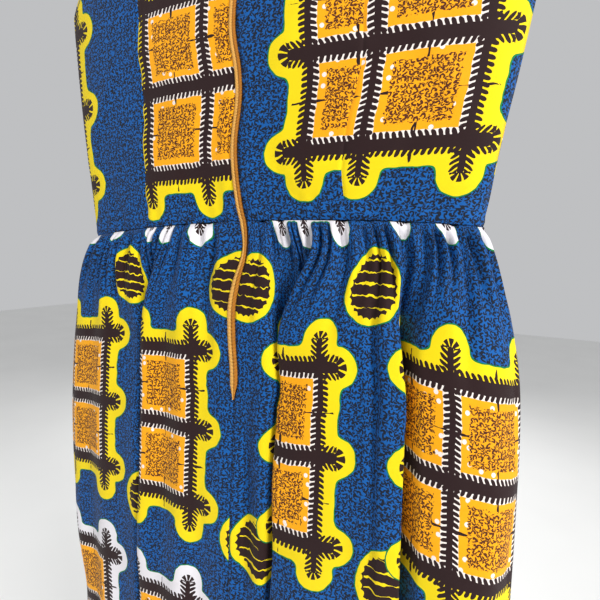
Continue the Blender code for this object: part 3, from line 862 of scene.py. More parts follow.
@dataclass(eq=False)
class Bodice:
    """The bodice: two backs with a waist dart each, and a front."""

    underarm: float = 0.232
    neck_point: float = 0.437
    neck_half_width: float = 0.085
    back_neck_drop: float = 0.032
    front_neck_drop: float = 0.095
    neck_power: float = 2.2
    shoulder_tip_x: float = 0.165
    shoulder_tip: float = 0.402
    armhole_start: Vector = field(default_factory=lambda: Vector((-0.026, 0.014)))
    armhole_end: Vector = field(default_factory=lambda: Vector((-0.008, -0.095)))
    shoulder_wrap: float = 0.009
    shoulder_fall: float = 0.070
    underarm_step: float = 0.55
    arc_steps: int = 60
    slope_step: float = 0.004
    dart_tip: float = 0.300
    rings: tuple[BodiceRing, ...] = (
        BodiceRing(0.000, CUT.waist_half_width, 0.024, 0.026),
        BodiceRing(0.060, 0.217, 0.026, 0.030),
        BodiceRing(0.120, 0.226, 0.028, 0.036),
        BodiceRing(0.190, 0.236, 0.029, 0.038),
        BodiceRing(0.232, 0.240, 0.029, 0.036),
        BodiceRing(0.330, 0.240, 0.028, 0.030),
        BodiceRing(0.440, 0.236, 0.026, 0.024),
    )
    left_dart: tuple[DartStep, ...] = (DartStep(0.000, 0.113), DartStep(0.100, 0.115), DartStep(0.300, 0.122))
    right_dart: tuple[DartStep, ...] = (
        DartStep(0.000, 0.0990),
        DartStep(0.040, 0.0972),
        DartStep(0.090, 0.1020),
        DartStep(0.134, 0.1100),
        DartStep(0.300, 0.1200),
    )
    intakes: tuple[DartStep, ...] = (
        DartStep(0.000, 0.036),
        DartStep(0.060, 0.032),
        DartStep(0.140, 0.027),
        DartStep(0.220, 0.024),
        DartStep(0.300, 0.000),
    )
    left_print: PanelPrint = PanelPrint(
        before=(PrintStep(0.000, 0.112), PrintStep(0.031, 0.080), PrintStep(0.105, 0.000)),
        past=(PrintStep(0.110, -0.050), PrintStep(0.176, -0.068), PrintStep(0.220, -0.112)),
        lift=0.048,
    )
    right_print: PanelPrint = PanelPrint(
        before=(PrintStep(0.000, -0.064), PrintStep(0.064, 0.000)),
        past=(PrintStep(0.113, 0.080), PrintStep(0.193, 0.160)),
        lift=0.059,
    )
    front_print: PanelPrint = PanelPrint(
        before=(PrintStep(0.000, 0.080), PrintStep(0.080, 0.160)),
        past=(PrintStep(0.080, 0.182), PrintStep(0.160, 0.262)),
        lift=0.052,
    )
    creases: tuple[Crease, ...] = (
        Crease(-0.060, 0.040, 0.50, 0.035, 0.006, -0.0012),
        Crease(-0.165, 0.030, -0.35, 0.045, 0.007, -0.0014),
        Crease(-0.185, 0.120, 0.60, 0.050, 0.009, 0.0014),
        Crease(-0.080, 0.150, -0.25, 0.060, 0.011, 0.0012),
        Crease(0.045, 0.030, -0.40, 0.040, 0.007, -0.0013),
        Crease(0.140, 0.035, 0.45, 0.040, 0.007, -0.0014),
        Crease(0.175, 0.110, -0.55, 0.055, 0.009, 0.0013),
        Crease(0.050, 0.170, 0.30, 0.060, 0.012, 0.0012),
        Crease(0.150, 0.230, 0.80, 0.040, 0.008, -0.0013),
        Crease(-0.150, 0.240, -0.80, 0.040, 0.008, -0.0013),
    )

    def shoulder_height(self, x: float) -> float:
        """Height of the line of the shoulder seam, carried on to the middle."""
        fall = (self.neck_point - self.shoulder_tip) / (self.shoulder_tip_x - self.neck_half_width)
        return self.neck_point - fall * (abs(x) - self.neck_half_width)

    def depth(self, x: float, height: float, face: Face) -> float:
        """How far the cloth lies behind or in front of the middle plane.

        Args:
            x: the place across.
            height: the height above the waist seam.
            face: the back or the front.

        Returns:
            The place along Y.
        """
        half_width = read(self.rings, "height", "half_width", height)
        depth = read(self.rings, "height", "back" if face is Face.BACK else "front", height)
        share = min(abs(x) / half_width, 1.0)
        full = depth * (1.0 - share**CUT.ring_power) ** (1.0 / CUT.ring_power)
        below = max(self.shoulder_height(x) - height, 0.0)
        turned = max(1.0 - below / self.shoulder_wrap, 0.0)
        wrap = self.shoulder_wrap * math.sqrt(1.0 - turned * turned)
        return face * (CUT.seam_gap / 2 + wrap + (full - wrap) * smooth(below / self.shoulder_fall))

    def side_line(self, along: float) -> Vector:
        """The side seam and, above the underarm, the armhole's edge, as (x, height)."""
        if along <= self.underarm_step:
            height = CUT.waist_height(CUT.waist_half_width)
            height += (self.underarm - height) * along / self.underarm_step
            return Vector((read(self.rings, "height", "half_width", max(height, 0.0)), height))
        underarm = Vector((read(self.rings, "height", "half_width", self.underarm), self.underarm))
        tip = Vector((self.shoulder_tip_x, self.shoulder_tip))
        armhole = (underarm, underarm + self.armhole_start, tip + self.armhole_end, tip)
        return bezier(armhole, (along - self.underarm_step) / (1.0 - self.underarm_step))

    def top_line(self, along: float, neck_drop: float) -> Vector:
        """The neckline and then the shoulder seam, as (x, height)."""
        if along <= 0.5:
            out = along * 2
            fall = neck_drop * (1.0 - out**self.neck_power)
            return Vector((self.neck_half_width * out, self.neck_point - fall))
        x = self.neck_half_width + (self.shoulder_tip_x - self.neck_half_width) * (along - 0.5) * 2
        return Vector((x, self.shoulder_height(x)))

    def outline(self, across: float, up: float, neck_drop: float) -> Vector:
        """A place on half a bodice, as (x, height), spread evenly between its four edges."""
        corner = self.side_line(0.0)
        bottom = Vector((CUT.waist_half_width * across, CUT.waist_height(CUT.waist_half_width * across)))
        middle_top = self.neck_point - neck_drop
        top = self.top_line(across, neck_drop)
        between_sides = Vector((0.0, middle_top * up)) * (1 - across) + self.side_line(up) * across
        between_ends = bottom * (1 - up) + top * up
        corners = Vector((0.0, middle_top)) * (1 - across) * up
        corners += corner * across * (1 - up) + self.top_line(1.0, neck_drop) * across * up
        return between_sides + between_ends - corners

    def neck_drop(self, face: Face) -> float:
        """How far the neckline falls below the shoulder's inner end."""
        return self.back_neck_drop if face is Face.BACK else self.front_neck_drop

    def darts(self, side: Side) -> tuple[DartStep, ...]:
        """The line of the dart on one half."""
        return self.left_dart if side is Side.LEFT else self.right_dart

    @functools.lru_cache(maxsize=None)
    def _dart_share(self, side: Side, face: Face, up: float) -> float:
        """Which share of a row lies before the dart."""
        neck_drop = self.neck_drop(face)
        darts = self.darts(side)
        low, high = 0.0, 1.0
        for _ in range(24):
            middle = (low + high) / 2
            x, height = self.outline(middle, up, neck_drop)
            low, high = (middle, high) if x < straight(darts, "height", "across", height) else (low, middle)
        return low

    @functools.lru_cache(maxsize=None)
    def place(self, side: Side, face: Face, share: float, up: float) -> tuple[float, float]:
        """A grid place as (x, height): a share of a half lies before the dart and the rest past it."""
        dart = self._dart_share(side, face, up)
        across = share * 2 * dart if share <= 0.5 else dart + (share * 2 - 1) * (1 - dart)
        x, height = self.outline(across, up, self.neck_drop(face))
        return x, height

    def point(self, side: Side, face: Face, share: float, up: float) -> Vector:
        """A place on the middle of the cloth."""
        x, height = self.place(side, face, share, up)
        y = self.depth(x, height, face)
        height += (CUT.waist_lean(side * x) + CUT.seam_gap / 2) * (1 - up)
        if face is Face.BACK:
            half_width = max(read(self.rings, "height", "half_width", height), x)
            edge = CUT.slot_edge(side, height)
            return Vector((edge + (side * half_width - edge) * x / half_width, y, CUT.waist_z + height))
        return Vector((side * x, y, CUT.waist_z + height))

    @functools.lru_cache(maxsize=None)
    def _arc(self, face: Face, height: float) -> list[float]:
        """Lengths along half a ring at a height, at even steps from its middle to its side."""
        half_width = read(self.rings, "height", "half_width", height)
        height = min(height, self.underarm)
        lengths, before = [0.0], Vector((0.0, self.depth(0.0, height, face)))
        for step in range(1, self.arc_steps + 1):
            x = half_width * step / self.arc_steps
            here = Vector((x, self.depth(x, height, face)))
            lengths.append(lengths[-1] + (here - before).length)
            before = here
        return lengths

    @functools.lru_cache(maxsize=None)
    def flat(self, side: Side, face: Face, share: float, up: float) -> tuple[float, float]:
        """A grid place on the flat cloth without its dart, as the distance from the middle and the height."""
        x, height = self.place(side, face, share, up)
        lengths = self._arc(face, round(height, 2))
        spot = min(x / read(self.rings, "height", "half_width", round(height, 2)), 1.0) * self.arc_steps
        low = min(int(spot), self.arc_steps - 1)
        return lengths[low] + (lengths[low + 1] - lengths[low]) * (spot - low), height

    def stitch_line(self, side: Side, face: Face, spots: list[tuple[float, float]]) -> StitchRow:
        """A row of stitches on a half panel.

        Args:
            side: the half of the dress.
            face: the back or the front.
            spots: the stitches' places, across and up, each from 0 to 1.

        Returns:
            Each place on the cloth with the direction out of it.
        """
        line = []
        for across, up in spots:
            dart = self._dart_share(side, face, up)
            share = across / (2 * dart) if across <= dart else 0.5 + (across - dart) / (2 * (1 - dart))
            step = self.slope_step if share < 0.5 else -self.slope_step
            here = self.point(side, face, share, up)
            beside = self.point(side, face, share + step, up) - here
            under = self.point(side, face, share, up - self.slope_step) - here
            outward = beside.cross(under).normalized()
            if outward.y * face < 0:
                outward.negate()
            line.append((here + outward * self._relief(side, face, share, up), outward))
        return line

    def edge_stitches(self) -> list[StitchRow]:
        """The rows of stitches beside the neckline and both armholes."""
        neck = [(0.02 + 0.455 * step / 42, 0.984) for step in range(43)]
        armhole = [(0.965, 0.570 + 0.405 * step / 58) for step in range(59)]
        lines = []
        for side in Side:
            for face in Face:
                lines += [self.stitch_line(side, face, neck), self.stitch_line(side, face, armhole)]
        return lines

    def _shares(self) -> list[float]:
        """Columns of a half, closer beside the dart, the middle and the side."""
        half = even_steps(0.0, 0.44, 0.020) + [0.455, 0.468, 0.478, 0.486, 0.4925, 0.497]
        return half + [0.5] + [1.0 - share for share in reversed(half)]

    def _rows(self) -> list[float]:
        """Rows from the waist seam to the neck and shoulders, closer at both ends."""
        return (
            [0.0, 0.002, 0.005, 0.009, 0.014]
            + even_steps(0.022, 0.94, 0.0105)
            + [0.95, 0.96, 0.968, 0.976, 0.982, 0.988, 0.993, 0.996, 0.998, 0.9993, 1.0]
        )

    def _relief(self, side: Side, face: Face, share: float, up: float) -> float:
        """How far the cloth stands out of its form: the seam, the dart, the zip's pull and the creases."""
        x, height = self.place(side, face, share, up)
        from_dart = x - straight(self.darts(side), "height", "across", height)
        ended = smooth((self.dart_tip - height) / 0.05)
        relief = -0.0010 * math.exp(-((from_dart / 0.0018) ** 2)) * ended
        relief += 0.0009 * math.exp(-((from_dart / 0.012) ** 2)) * wave(height, 0.034, 0.3) * ended
        relief -= 0.0012 * (1.0 - smooth(up / 0.009))
        puckers = wave(x, 0.021, 0.4, 0.3 * side) * smooth(up / 0.02)
        relief += 0.0010 * math.exp(-((height / 0.020) ** 2)) * puckers
        if face is Face.BACK:
            relief += 0.0009 * math.exp(-x / 0.016) * wave(height, 0.041, 0.35, 0.2 * side)
            relief += 0.0012 * math.exp(-(((x - 0.010) / 0.004) ** 2))
            relief -= 0.0004 * math.exp(-((x / 0.004) ** 2))
        below = smooth((self.shoulder_height(x) - height) / 0.06)
        broad = 0.0008 * wave(x + height * 0.3, 0.115, 0.2, 0.4 + 0.1 * face)
        broad += crease_relief(self.creases, -face * side * x, height)
        over_tape = smooth((x - 0.012) / 0.012) if face is Face.BACK else 1.0
        return max(relief, -0.0002 - 0.002 * over_tape) + broad * below * over_tape

    def build(self, finish: WaxPrint) -> list[bpy.types.Object]:
        """Makes the three panels.

        Args:
            finish: the printed cotton.

        Returns:
            The left back, the right back and the front.
        """
        pieces = []
        for side, prints in ((Side.LEFT, self.left_print), (Side.RIGHT, self.right_print)):
            name = f"cloth_bodice_back_{side.name.lower()}"
            shell = self._back_shell(name, side, prints)
            pieces.append(shell.build(finish.material(name + "_print")))
        pieces.append(self._front_shell().build(finish.material("cloth_bodice_front_print")))
        return pieces

    def _uv(self, side: Side, face: Face, prints: PanelPrint, share: float, up: float, past: bool) -> tuple:
        """The cloth place and the block place of a grid place."""
        across, height = self.flat(side, face, share, up)
        intake = straight(self.intakes, "height", "across", height) if height < self.dart_tip else 0.0
        widened = across / (1.0 + 0.3 * (height - 0.05))
        if past and side is Side.LEFT and face is Face.BACK:
            block = straight(prints.past, "cloth", "block", widened)
        elif past:
            block = straight(prints.past, "cloth", "block", widened + intake - 0.032)
        else:
            block = straight(prints.before, "cloth", "block", widened)
        return (side * (across + intake * past), height), (block, height - prints.lift)

    def _back_shell(self, name: str, side: Side, prints: PanelPrint) -> Shell:
        """One back panel."""
        columns = self._shares()
        dart = columns.index(0.5)
        return Shell(
            name=name,
            columns=columns,
            rows=self._rows(),
            point=lambda share, up: self.point(side, Face.BACK, share, up),
            relief=lambda share, up: self._relief(side, Face.BACK, share, up),
            cloth_uv=lambda share, up, first: self._uv(side, Face.BACK, prints, share, up, first >= dart)[0],
            block_uv=lambda share, up, first: self._uv(side, Face.BACK, prints, share, up, first >= dart)[1],
            turn=side,
        )

    def _front_shell(self) -> Shell:
        """The front panel, in one piece from side to side."""
        half = self._shares()
        columns = [-share for share in reversed(half[1:])] + half
        left_dart, right_dart = columns.index(-0.5), columns.index(0.5)

        def side_of(share: float) -> Side:
            """The half that a column of the front belongs to."""
            return Side.RIGHT if share >= 0 else Side.LEFT

        def uv(share: float, up: float, first: int) -> tuple:
            """The cloth place and the block place, mirrored left of the middle."""
            side = Side.RIGHT if first >= len(half) - 1 else Side.LEFT
            past = first >= right_dart if side is Side.RIGHT else first < left_dart
            prints = self.front_print
            (across, height), (block, lift) = self._uv(side, Face.FRONT, prints, abs(share), up, past)
            mirrored = prints.before[-1].block - block
            return (across + 2.0, height), (block if side is Side.RIGHT else mirrored, lift)

        return Shell(
            name="cloth_bodice_front",
            columns=columns,
            rows=self._rows(),
            point=lambda share, up: self.point(side_of(share), Face.FRONT, abs(share), up),
            relief=lambda share, up: self._relief(side_of(share), Face.FRONT, abs(share), up),
            cloth_uv=lambda share, up, first: uv(share, up, first)[0],
            block_uv=lambda share, up, first: uv(share, up, first)[1],
            turn=-1,
        )


@dataclass(frozen=True, eq=False)
class Gore:
    """One length of the skirt's cloth, from the middle to a side seam."""

    side: Side
    face: Face
    cloth: float
    gathers: tuple[Gather, ...]
    folds: tuple[Fold, ...]


@dataclass(eq=False)
class Skirt:
    """The gathered skirt: two back gores and a front of two gores in one piece."""

    length: float = 0.620
    gather_drop: float = 0.120
    skew: float = 0.45
    mouth: float = 0.0075
    bottom: float = 0.06
    column: float = 0.0036
    soft_steps: int = 3
    hem: float = 0.020
    rings: tuple[SkirtRing, ...] = (
        SkirtRing(0.000, CUT.waist_half_width, CUT.waist_half_width, 0.000, 0.024, 0.026),
        SkirtRing(0.030, 0.226, 0.222, 0.000, 0.031, 0.036),
        SkirtRing(0.070, 0.241, 0.236, 0.000, 0.036, 0.046),
        SkirtRing(0.130, 0.252, 0.248, 0.002, 0.040, 0.055),
        SkirtRing(0.240, 0.258, 0.254, 0.010, 0.045, 0.062),
        SkirtRing(0.360, 0.250, 0.257, 0.021, 0.049, 0.066),
        SkirtRing(0.490, 0.232, 0.260, 0.028, 0.053, 0.069),
        SkirtRing(0.620, 0.234, 0.266, 0.030, 0.056, 0.072),
    )
    back_right: Gore = Gore(
        side=Side.RIGHT,
        face=Face.BACK,
        cloth=0.500,
        gathers=(
            Gather(0.000, 0.000),
            Gather(0.070, 0.165),
            Gather(0.150, 0.270),
            Gather(0.230, 0.425),
            Gather(0.340, 0.670),
            Gather(0.420, 0.840),
            Gather(0.500, 1.000),
        ),
        folds=(
            Fold(0.040, 0.140, 0.046, 0.034),
            Fold(0.280, 0.012, 0.005, 0.0),
            Fold(0.320, 0.070, 0.030, -0.014),
        ),
    )
    back_left: Gore = Gore(
        side=Side.LEFT,
        face=Face.BACK,
        cloth=0.420,
        gathers=(
            Gather(0.000, 0.000),
            Gather(0.050, 0.225),
            Gather(0.130, 0.405),
            Gather(0.210, 0.515),
            Gather(0.320, 0.755),
            Gather(0.420, 1.000),
        ),
        folds=(Fold(0.128, 0.135, 0.040, -0.032),),
    )
    front_right: Gore = Gore(
        side=Side.RIGHT,
        face=Face.FRONT,
        cloth=0.470,
        gathers=(Gather(0.000, 0.000), Gather(0.160, 0.360), Gather(0.310, 0.640), Gather(0.470, 1.000)),
        folds=(
            Fold(0.050, 0.080, 0.036, 0.012),
            Fold(0.215, 0.070, 0.032, -0.010),
            Fold(0.350, 0.050, 0.022, 0.006),
        ),
    )
    front_left: Gore = Gore(
        side=Side.LEFT,
        face=Face.FRONT,
        cloth=0.450,
        gathers=(Gather(0.000, 0.000), Gather(0.140, 0.300), Gather(0.300, 0.690), Gather(0.450, 1.000)),
        folds=(
            Fold(0.040, 0.070, 0.030, 0.000),
            Fold(0.170, 0.090, 0.036, 0.010),
            Fold(0.325, 0.040, 0.018, 0.0),
        ),
    )
    print_stretch: float = 1.06
    band_drops_right: tuple[PrintStep, ...] = (
        PrintStep(0.000, 0.127),
        PrintStep(0.200, 0.128),
        PrintStep(0.300, 0.118),
        PrintStep(0.380, 0.115),
        PrintStep(0.500, 0.1256),
    )
    band_drops_left: tuple[PrintStep, ...] = (
        PrintStep(0.000, 0.125),
        PrintStep(0.130, 0.1236),
        PrintStep(0.270, 0.1134),
        PrintStep(0.420, 0.1134),
    )
    creases: tuple[Crease, ...] = (
        Crease(-0.036, 0.050, 0.06, 0.050, 0.008, -0.0085),
        Crease(-0.085, 0.030, 0.00, 0.030, 0.006, -0.0035),
        Crease(-0.300, 0.050, -0.12, 0.050, 0.010, -0.0035),
        Crease(-0.365, 0.120, 0.08, 0.090, 0.014, 0.0030),
        Crease(-0.030, 0.250, 0.05, 0.120, 0.012, 0.0026),
        Crease(0.030, 0.020, 0.00, 0.040, 0.005, -0.0040),
        Crease(0.018, 0.275, 0.03, 0.095, 0.011, -0.0090),
        Crease(0.068, 0.050, 0.00, 0.055, 0.008, -0.0075),
        Crease(0.240, 0.040, 0.00, 0.050, 0.008, -0.0062),
        Crease(0.287, 0.120, 0.01, 0.120, 0.006, -0.0042),
        Crease(0.250, 0.190, -0.05, 0.110, 0.014, 0.0026),
        Crease(0.350, 0.050, 0.00, 0.055, 0.008, -0.0065),
        Crease(0.435, 0.050, 0.00, 0.060, 0.008, -0.0068),
        Crease(0.455, 0.230, -0.04, 0.150, 0.013, 0.0026),
    )

    @functools.lru_cache(maxsize=None)
    def _ring(self, side: Side, face: Face, drop: float) -> tuple[list[Vector], list[float]]:
        """Half an oval of the skirt as points from its middle to its side, with the length up to each."""
        width = read(self.rings, "drop", side.name.lower(), drop)
        middle = read(self.rings, "drop", "middle", drop)
        depth = read(self.rings, "drop", face.name.lower(), drop)
        skew = self.skew * smooth(drop / self.gather_drop) * (face is Face.BACK)
        points = []
        steps = 72
        for step in range(steps + 1):
            turn = math.pi / 2 * step / steps
            x = middle + (side * width - middle) * math.sin(turn) ** (2 / CUT.ring_power)
            swell = 1.0 + skew * x * abs(x) / width**2
            y = depth * swell * abs(math.cos(turn)) ** (2 / CUT.ring_power) * (step < steps)
            points.append(Vector((x, face * (y + CUT.seam_gap / 2))))
        lengths = [0.0]
        for before, after in zip(points, points[1:]):
            lengths.append(lengths[-1] + (after - before).length)
        return points, lengths

    def _along(self, ring: tuple[list[Vector], list[float]], distance: float) -> tuple[Vector, Vector]:
        """The place at a distance along a ring and the ring's direction there."""
        points, lengths = ring
        distance = min(max(distance, 0.0), lengths[-1])
        low = min(max(bisect.bisect_right(lengths, distance) - 1, 0), len(points) - 2)
        share = (distance - lengths[low]) / (lengths[low + 1] - lengths[low])
        before, after = points[max(low - 1, 0)], points[min(low + 2, len(points) - 1)]
        return points[low].lerp(points[low + 1], share), (after - before).normalized()

    @functools.lru_cache(maxsize=None)
    def _folded(self, gore: Gore, cloth: float) -> tuple[float, float, float]:
        """What shows of the cloth up to a place on it, and how far that place is folded inward and aside."""
        visible = cloth
        inward = aside = 0.0
        for fold in gore.folds:
            share = min(max((cloth - fold.start) / fold.hidden, 0.0), 1.0)
            crossed = min(max((share - 0.5 + self.bottom) / (2 * self.bottom), 0.0), 1.0)
            reach = min(min(share, 1.0 - share) / (0.5 - self.bottom), 1.0)
            visible += self.mouth * crossed - fold.hidden * share
            inward += fold.inward * reach
            aside += fold.aside * reach
        return visible, inward, aside

    @functools.lru_cache(maxsize=None)
    def _sharp_point(self, gore: Gore, cloth: float, drop: float) -> Vector:
        """A place on the middle of the cloth, with sharp folds."""
        ring = self._ring(gore.side, gore.face, round(drop, 6))
        folded = smooth(drop / self.gather_drop)
        visible, inward, aside = self._folded(gore, cloth)
        whole = self._folded(gore, gore.cloth)[0]
        gathered = read(gore.gathers, "cloth", "share", cloth)
        shown = ring[1][-1] * (gathered * (1 - folded) + visible / whole * folded)
        place, heading = self._along(ring, shown + aside * folded)
        inner = Vector((-heading.y, heading.x)) * (-gore.face * gore.side)
        x, y = place + inner * inward * folded
        lean = CUT.waist_lean(place.x) * (1 - drop / self.length)
        height = CUT.waist_height(place.x) + lean - CUT.seam_gap / 2 - drop
        if gore.face is Face.BACK:
            shift = CUT.slot_edge(gore.side, height) - read(self.rings, "drop", "middle", drop)
            x += shift * max(1.0 - abs(place.x) / read(self.rings, "drop", "left", drop), 0.0)
        return Vector((x, y, CUT.waist_z + height))

    def point(self, gore: Gore, cloth: float, drop: float) -> Vector:
        """A place on the middle of the cloth, with soft folds."""
        half = self.column / 2
        reach = min(self.soft_steps, int((min(cloth, gore.cloth - cloth) + 1e-6) / half))
        total = Vector()
        for step in range(-reach, reach + 1):
            at = min(max(round(cloth + step * half, 5), 0.0), gore.cloth)
            total += self._sharp_point(gore, at, drop)
        return total / (2 * reach + 1)

    def _relief(self, gore: Gore, cloth: float, drop: float) -> float:
        """How far the cloth stands out of its plain form: the seam, the gathers, long waves and creases."""
        ends = smooth(cloth / 0.014) * smooth((gore.cloth - cloth) / 0.014)
        start = 0.17 * gore.side + 0.31 * gore.face
        reach = 0.045 + 0.050 * (0.5 + 0.5 * wave(cloth, 0.071, 0.4, start))
        grown = smooth(drop / 0.012) * (1.0 - smooth((drop - 0.02) / reach))
        gathers = 0.0038 * wave(cloth, 0.0265, 0.30, start) + 0.0016 * wave(cloth, 0.0131, 0.4, start * 2)
        relief = gathers * grown
        relief += 0.0026 * wave(cloth, 0.083, 0.25, start) * smooth(drop / 0.09)
        relief += 0.0012 * wave(drop, 0.21, 0.3, cloth * 7.0) * smooth(drop / 0.12)
        relief -= 0.0016 * (1.0 - smooth(drop / 0.005))
        over_tape = smooth((cloth - 0.013) / 0.012) if gore.face is Face.BACK else 1.0
        over_tape += (1.0 - over_tape) * smooth((drop - CUT.zip_drop - 0.015) / 0.03)
        mirrored = cloth * gore.side * -gore.face
        return (relief + crease_relief(self.creases, mirrored, drop)) * ends * over_tape

    def hem_stitches(self) -> list[StitchRow]:
        """The rows of stitches that hold the turned hem."""
        drop = self.length - self.hem
        lines = []
        for gore in (self.back_left, self.back_right, self.front_left, self.front_right):
            line = []
            for cloth in even_steps(0.004, gore.cloth - 0.004, 0.0032):
                here = self.point(gore, cloth, drop)
                beside = self.point(gore, cloth + 0.001, drop) - here
                outward = beside.cross(Vector((0.0, 0.0, -1.0))).normalized() * gore.side * -gore.face
                line.append((here - outward * self._relief(gore, cloth, drop), -outward))
            lines.append(line)
        return lines

    def _rows(self) -> list[float]:
        """Drops from the waist seam to the hem, closer at the gathers."""
        top = [0.0, 0.0012, 0.0028, 0.0048, 0.0072, 0.0100, 0.0135]
        gathered = even_steps(0.0175, 0.150, 0.0048)
        plain = even_steps(0.158, 0.606, 0.0095)
        return top + gathered + plain + [0.612, 0.617, self.length]

    def build(self, finish: WaxPrint) -> list[bpy.types.Object]:
        """Makes the three pieces.

        Args:
            finish: the printed cotton.

        Returns:
            The left back, the right back and the front.
        """
        pieces = []
        for gore in (self.back_left, self.back_right):
            name = f"cloth_skirt_back_{gore.side.name.lower()}"
            shell = Shell(
                name=name,
                columns=even_steps(0.0, gore.cloth, self.column),
                rows=self._rows(),
                point=lambda cloth, drop, gore=gore: self.point(gore, cloth, drop),
                relief=lambda cloth, drop, gore=gore: self._relief(gore, cloth, drop),
                cloth_uv=lambda cloth, drop, first, gore=gore: (gore.side * cloth + 4.0, -drop),
                block_uv=lambda cloth, drop, first, gore=gore: self._block(gore, cloth, drop),
                turn=-gore.side,
            )
            pieces.append(shell.build(finish.material(name + "_print")))
        pieces.append(self._front().build(finish.material("cloth_skirt_front_print")))
        return pieces

    def _block(self, gore: Gore, cloth: float, drop: float) -> tuple[float, float]:
        """Where in the printed block a place on the skirt falls."""
        if gore.face is Face.FRONT:
            across = 0.080 + gore.side * cloth
        else:
            across = cloth - 0.070 if gore.side is Side.RIGHT else 0.210 - cloth
        bands = self.band_drops_right if gore.side is Side.RIGHT else self.band_drops_left
        top_band = straight(bands, "cloth", "block", cloth)
        return across, 0.164 + (top_band - drop) * self.print_stretch

    def _front(self) -> Shell:
        """The front, in one piece from side to side."""

        def gore(cloth: float) -> Gore:
            """The gore that a place on the front belongs to."""
            return self.front_right if cloth >= 0 else self.front_left

        left = even_steps(-self.front_left.cloth, 0.0, self.column)
        return Shell(
            name="cloth_skirt_front",
            columns=left + even_steps(0.0, self.front_right.cloth, self.column)[1:],
            rows=self._rows(),
            point=lambda cloth, drop: self.point(gore(cloth), abs(cloth), drop),
            relief=lambda cloth, drop: self._relief(gore(cloth), abs(cloth), drop),
            cloth_uv=lambda cloth, drop, first: (cloth + 6.0, -drop),
            block_uv=lambda cloth, drop, first: self._block(gore(cloth), abs(cloth), drop),
            turn=1,
        )


# Zip, stitches and studio.


@dataclass
class Zip:
    """The coil of the exposed zip, sewn down the centre back."""

    bodice: Bodice
    skirt: Skirt
    pitch: float = 0.00130
    half_width: float = 0.0041
    depth: float = 0.0011
    lift: float = 0.0015
    taper: float = 0.011
    slider_cover: float = 0.010
    tooth_slant: float = 0.16
    widths: tuple[ZipWidth, ...] = (
        ZipWidth(-0.160, 1.05),
        ZipWidth(-0.060, 1.10),
        ZipWidth(-0.034, 0.75),
        ZipWidth(-0.018, 0.52),
        ZipWidth(-0.002, 0.75),
        ZipWidth(0.020, 0.86),
        ZipWidth(0.060, 0.90),
        ZipWidth(0.400, 0.90),
    )

    def middle(self, height: float) -> Vector:
        """The middle of the slot at a height, on the middle of the cloth."""
        if height >= CUT.waist_rise:
            whole = self.bodice.neck_point - self.bodice.back_neck_drop
            y = self.bodice.depth(0.0, (height - CUT.waist_rise) / (1 - CUT.waist_rise / whole), Face.BACK)
        else:
            drop = max(CUT.waist_rise - height, 0.0) / (1 + CUT.waist_rise / self.skirt.length)
            y = -read(self.skirt.rings, "drop", "back", drop) - CUT.seam_gap / 2
        return Vector((CUT.sway(height), y, CUT.waist_z + height))

    def build(self, light: PlainFinish, painted_shade_row: PlainFinish, name: str) -> bpy.types.Object:
        """Makes the two interlocked rows of coil.

        Args:
            light: the left row's finish, the coil's gold lightened as painted light.
            painted_shade_row: the right row's finish, the same gold darkened as painted shade.
            name: the piece's name.

        Returns:
            The coil.
        """
        mesh = bmesh.new()
        teeth = {side: bead(f"{side.name.lower()}_tooth", 8, 5) for side in Side}
        # The right row's teeth take the second slot: the darker copy of the coil's gold, painted shade.
        for polygon in teeth[Side.RIGHT].polygons:
            polygon.material_index = 1
        bottom = -CUT.zip_drop - self.taper
        count = round((CUT.zip_top - self.slider_cover - bottom) / self.pitch)
        for index in range(count):
            height = bottom + self.pitch * (index + 0.5)
            place = self.middle(height)
            ahead = self.middle(height + self.pitch)
            lean = math.atan2(ahead.x - place.x, ahead.z - place.z)
            half_width = self.half_width * (0.25 + 0.75 * smooth((height - bottom) / self.taper / 1.6))
            half_width *= read(self.widths, "height", "share", height)
            size = Matrix.Diagonal((half_width * 0.56, self.depth * 0.62, self.pitch * 0.46, 1.0))
            for side in Side:
                shift = place + Vector((side * half_width * 0.46, -self.lift, side * self.pitch * 0.25))
                turn = Matrix.Rotation(lean + side * self.tooth_slant, 4, "Y")
                set_in(mesh, teeth[side], Matrix.Translation(shift) @ turn @ size)
        for tooth in teeth.values():
            bpy.data.meshes.remove(tooth)
        coil = solid(name, mesh, light.material(name + "_light"))
        coil.data.materials.append(painted_shade_row.material(name + "_deep"))
        return coil


def bead(name: str, around: int, along: int) -> bpy.types.Mesh:
    """A round bead of unit radius, as a mesh to set in many times."""
    mesh = bmesh.new()
    bmesh.ops.create_uvsphere(mesh, u_segments=around, v_segments=along, radius=1.0)
    data = bpy.data.meshes.new(name)
    mesh.to_mesh(data)
    mesh.free()
    return data


def set_in(mesh: bmesh.types.BMesh, shape: bpy.types.Mesh, place: Matrix) -> None:
    """Adds a shape to a mesh at a place, and leaves the shape as it was."""
    shape.transform(place)
    mesh.from_mesh(shape)
    shape.transform(place.inverted())


def solid(name: str, mesh: bmesh.types.BMesh, material: bpy.types.Material) -> bpy.types.Object:
    """Puts a bmesh into a smooth piece at the origin."""
    data = bpy.data.meshes.new(name)
    mesh.to_mesh(data)
    mesh.free()
    data.shade_smooth()
    piece = bpy.data.objects.new(name, data)
    bpy.context.collection.objects.link(piece)
    piece.data.materials.append(material)
    return piece


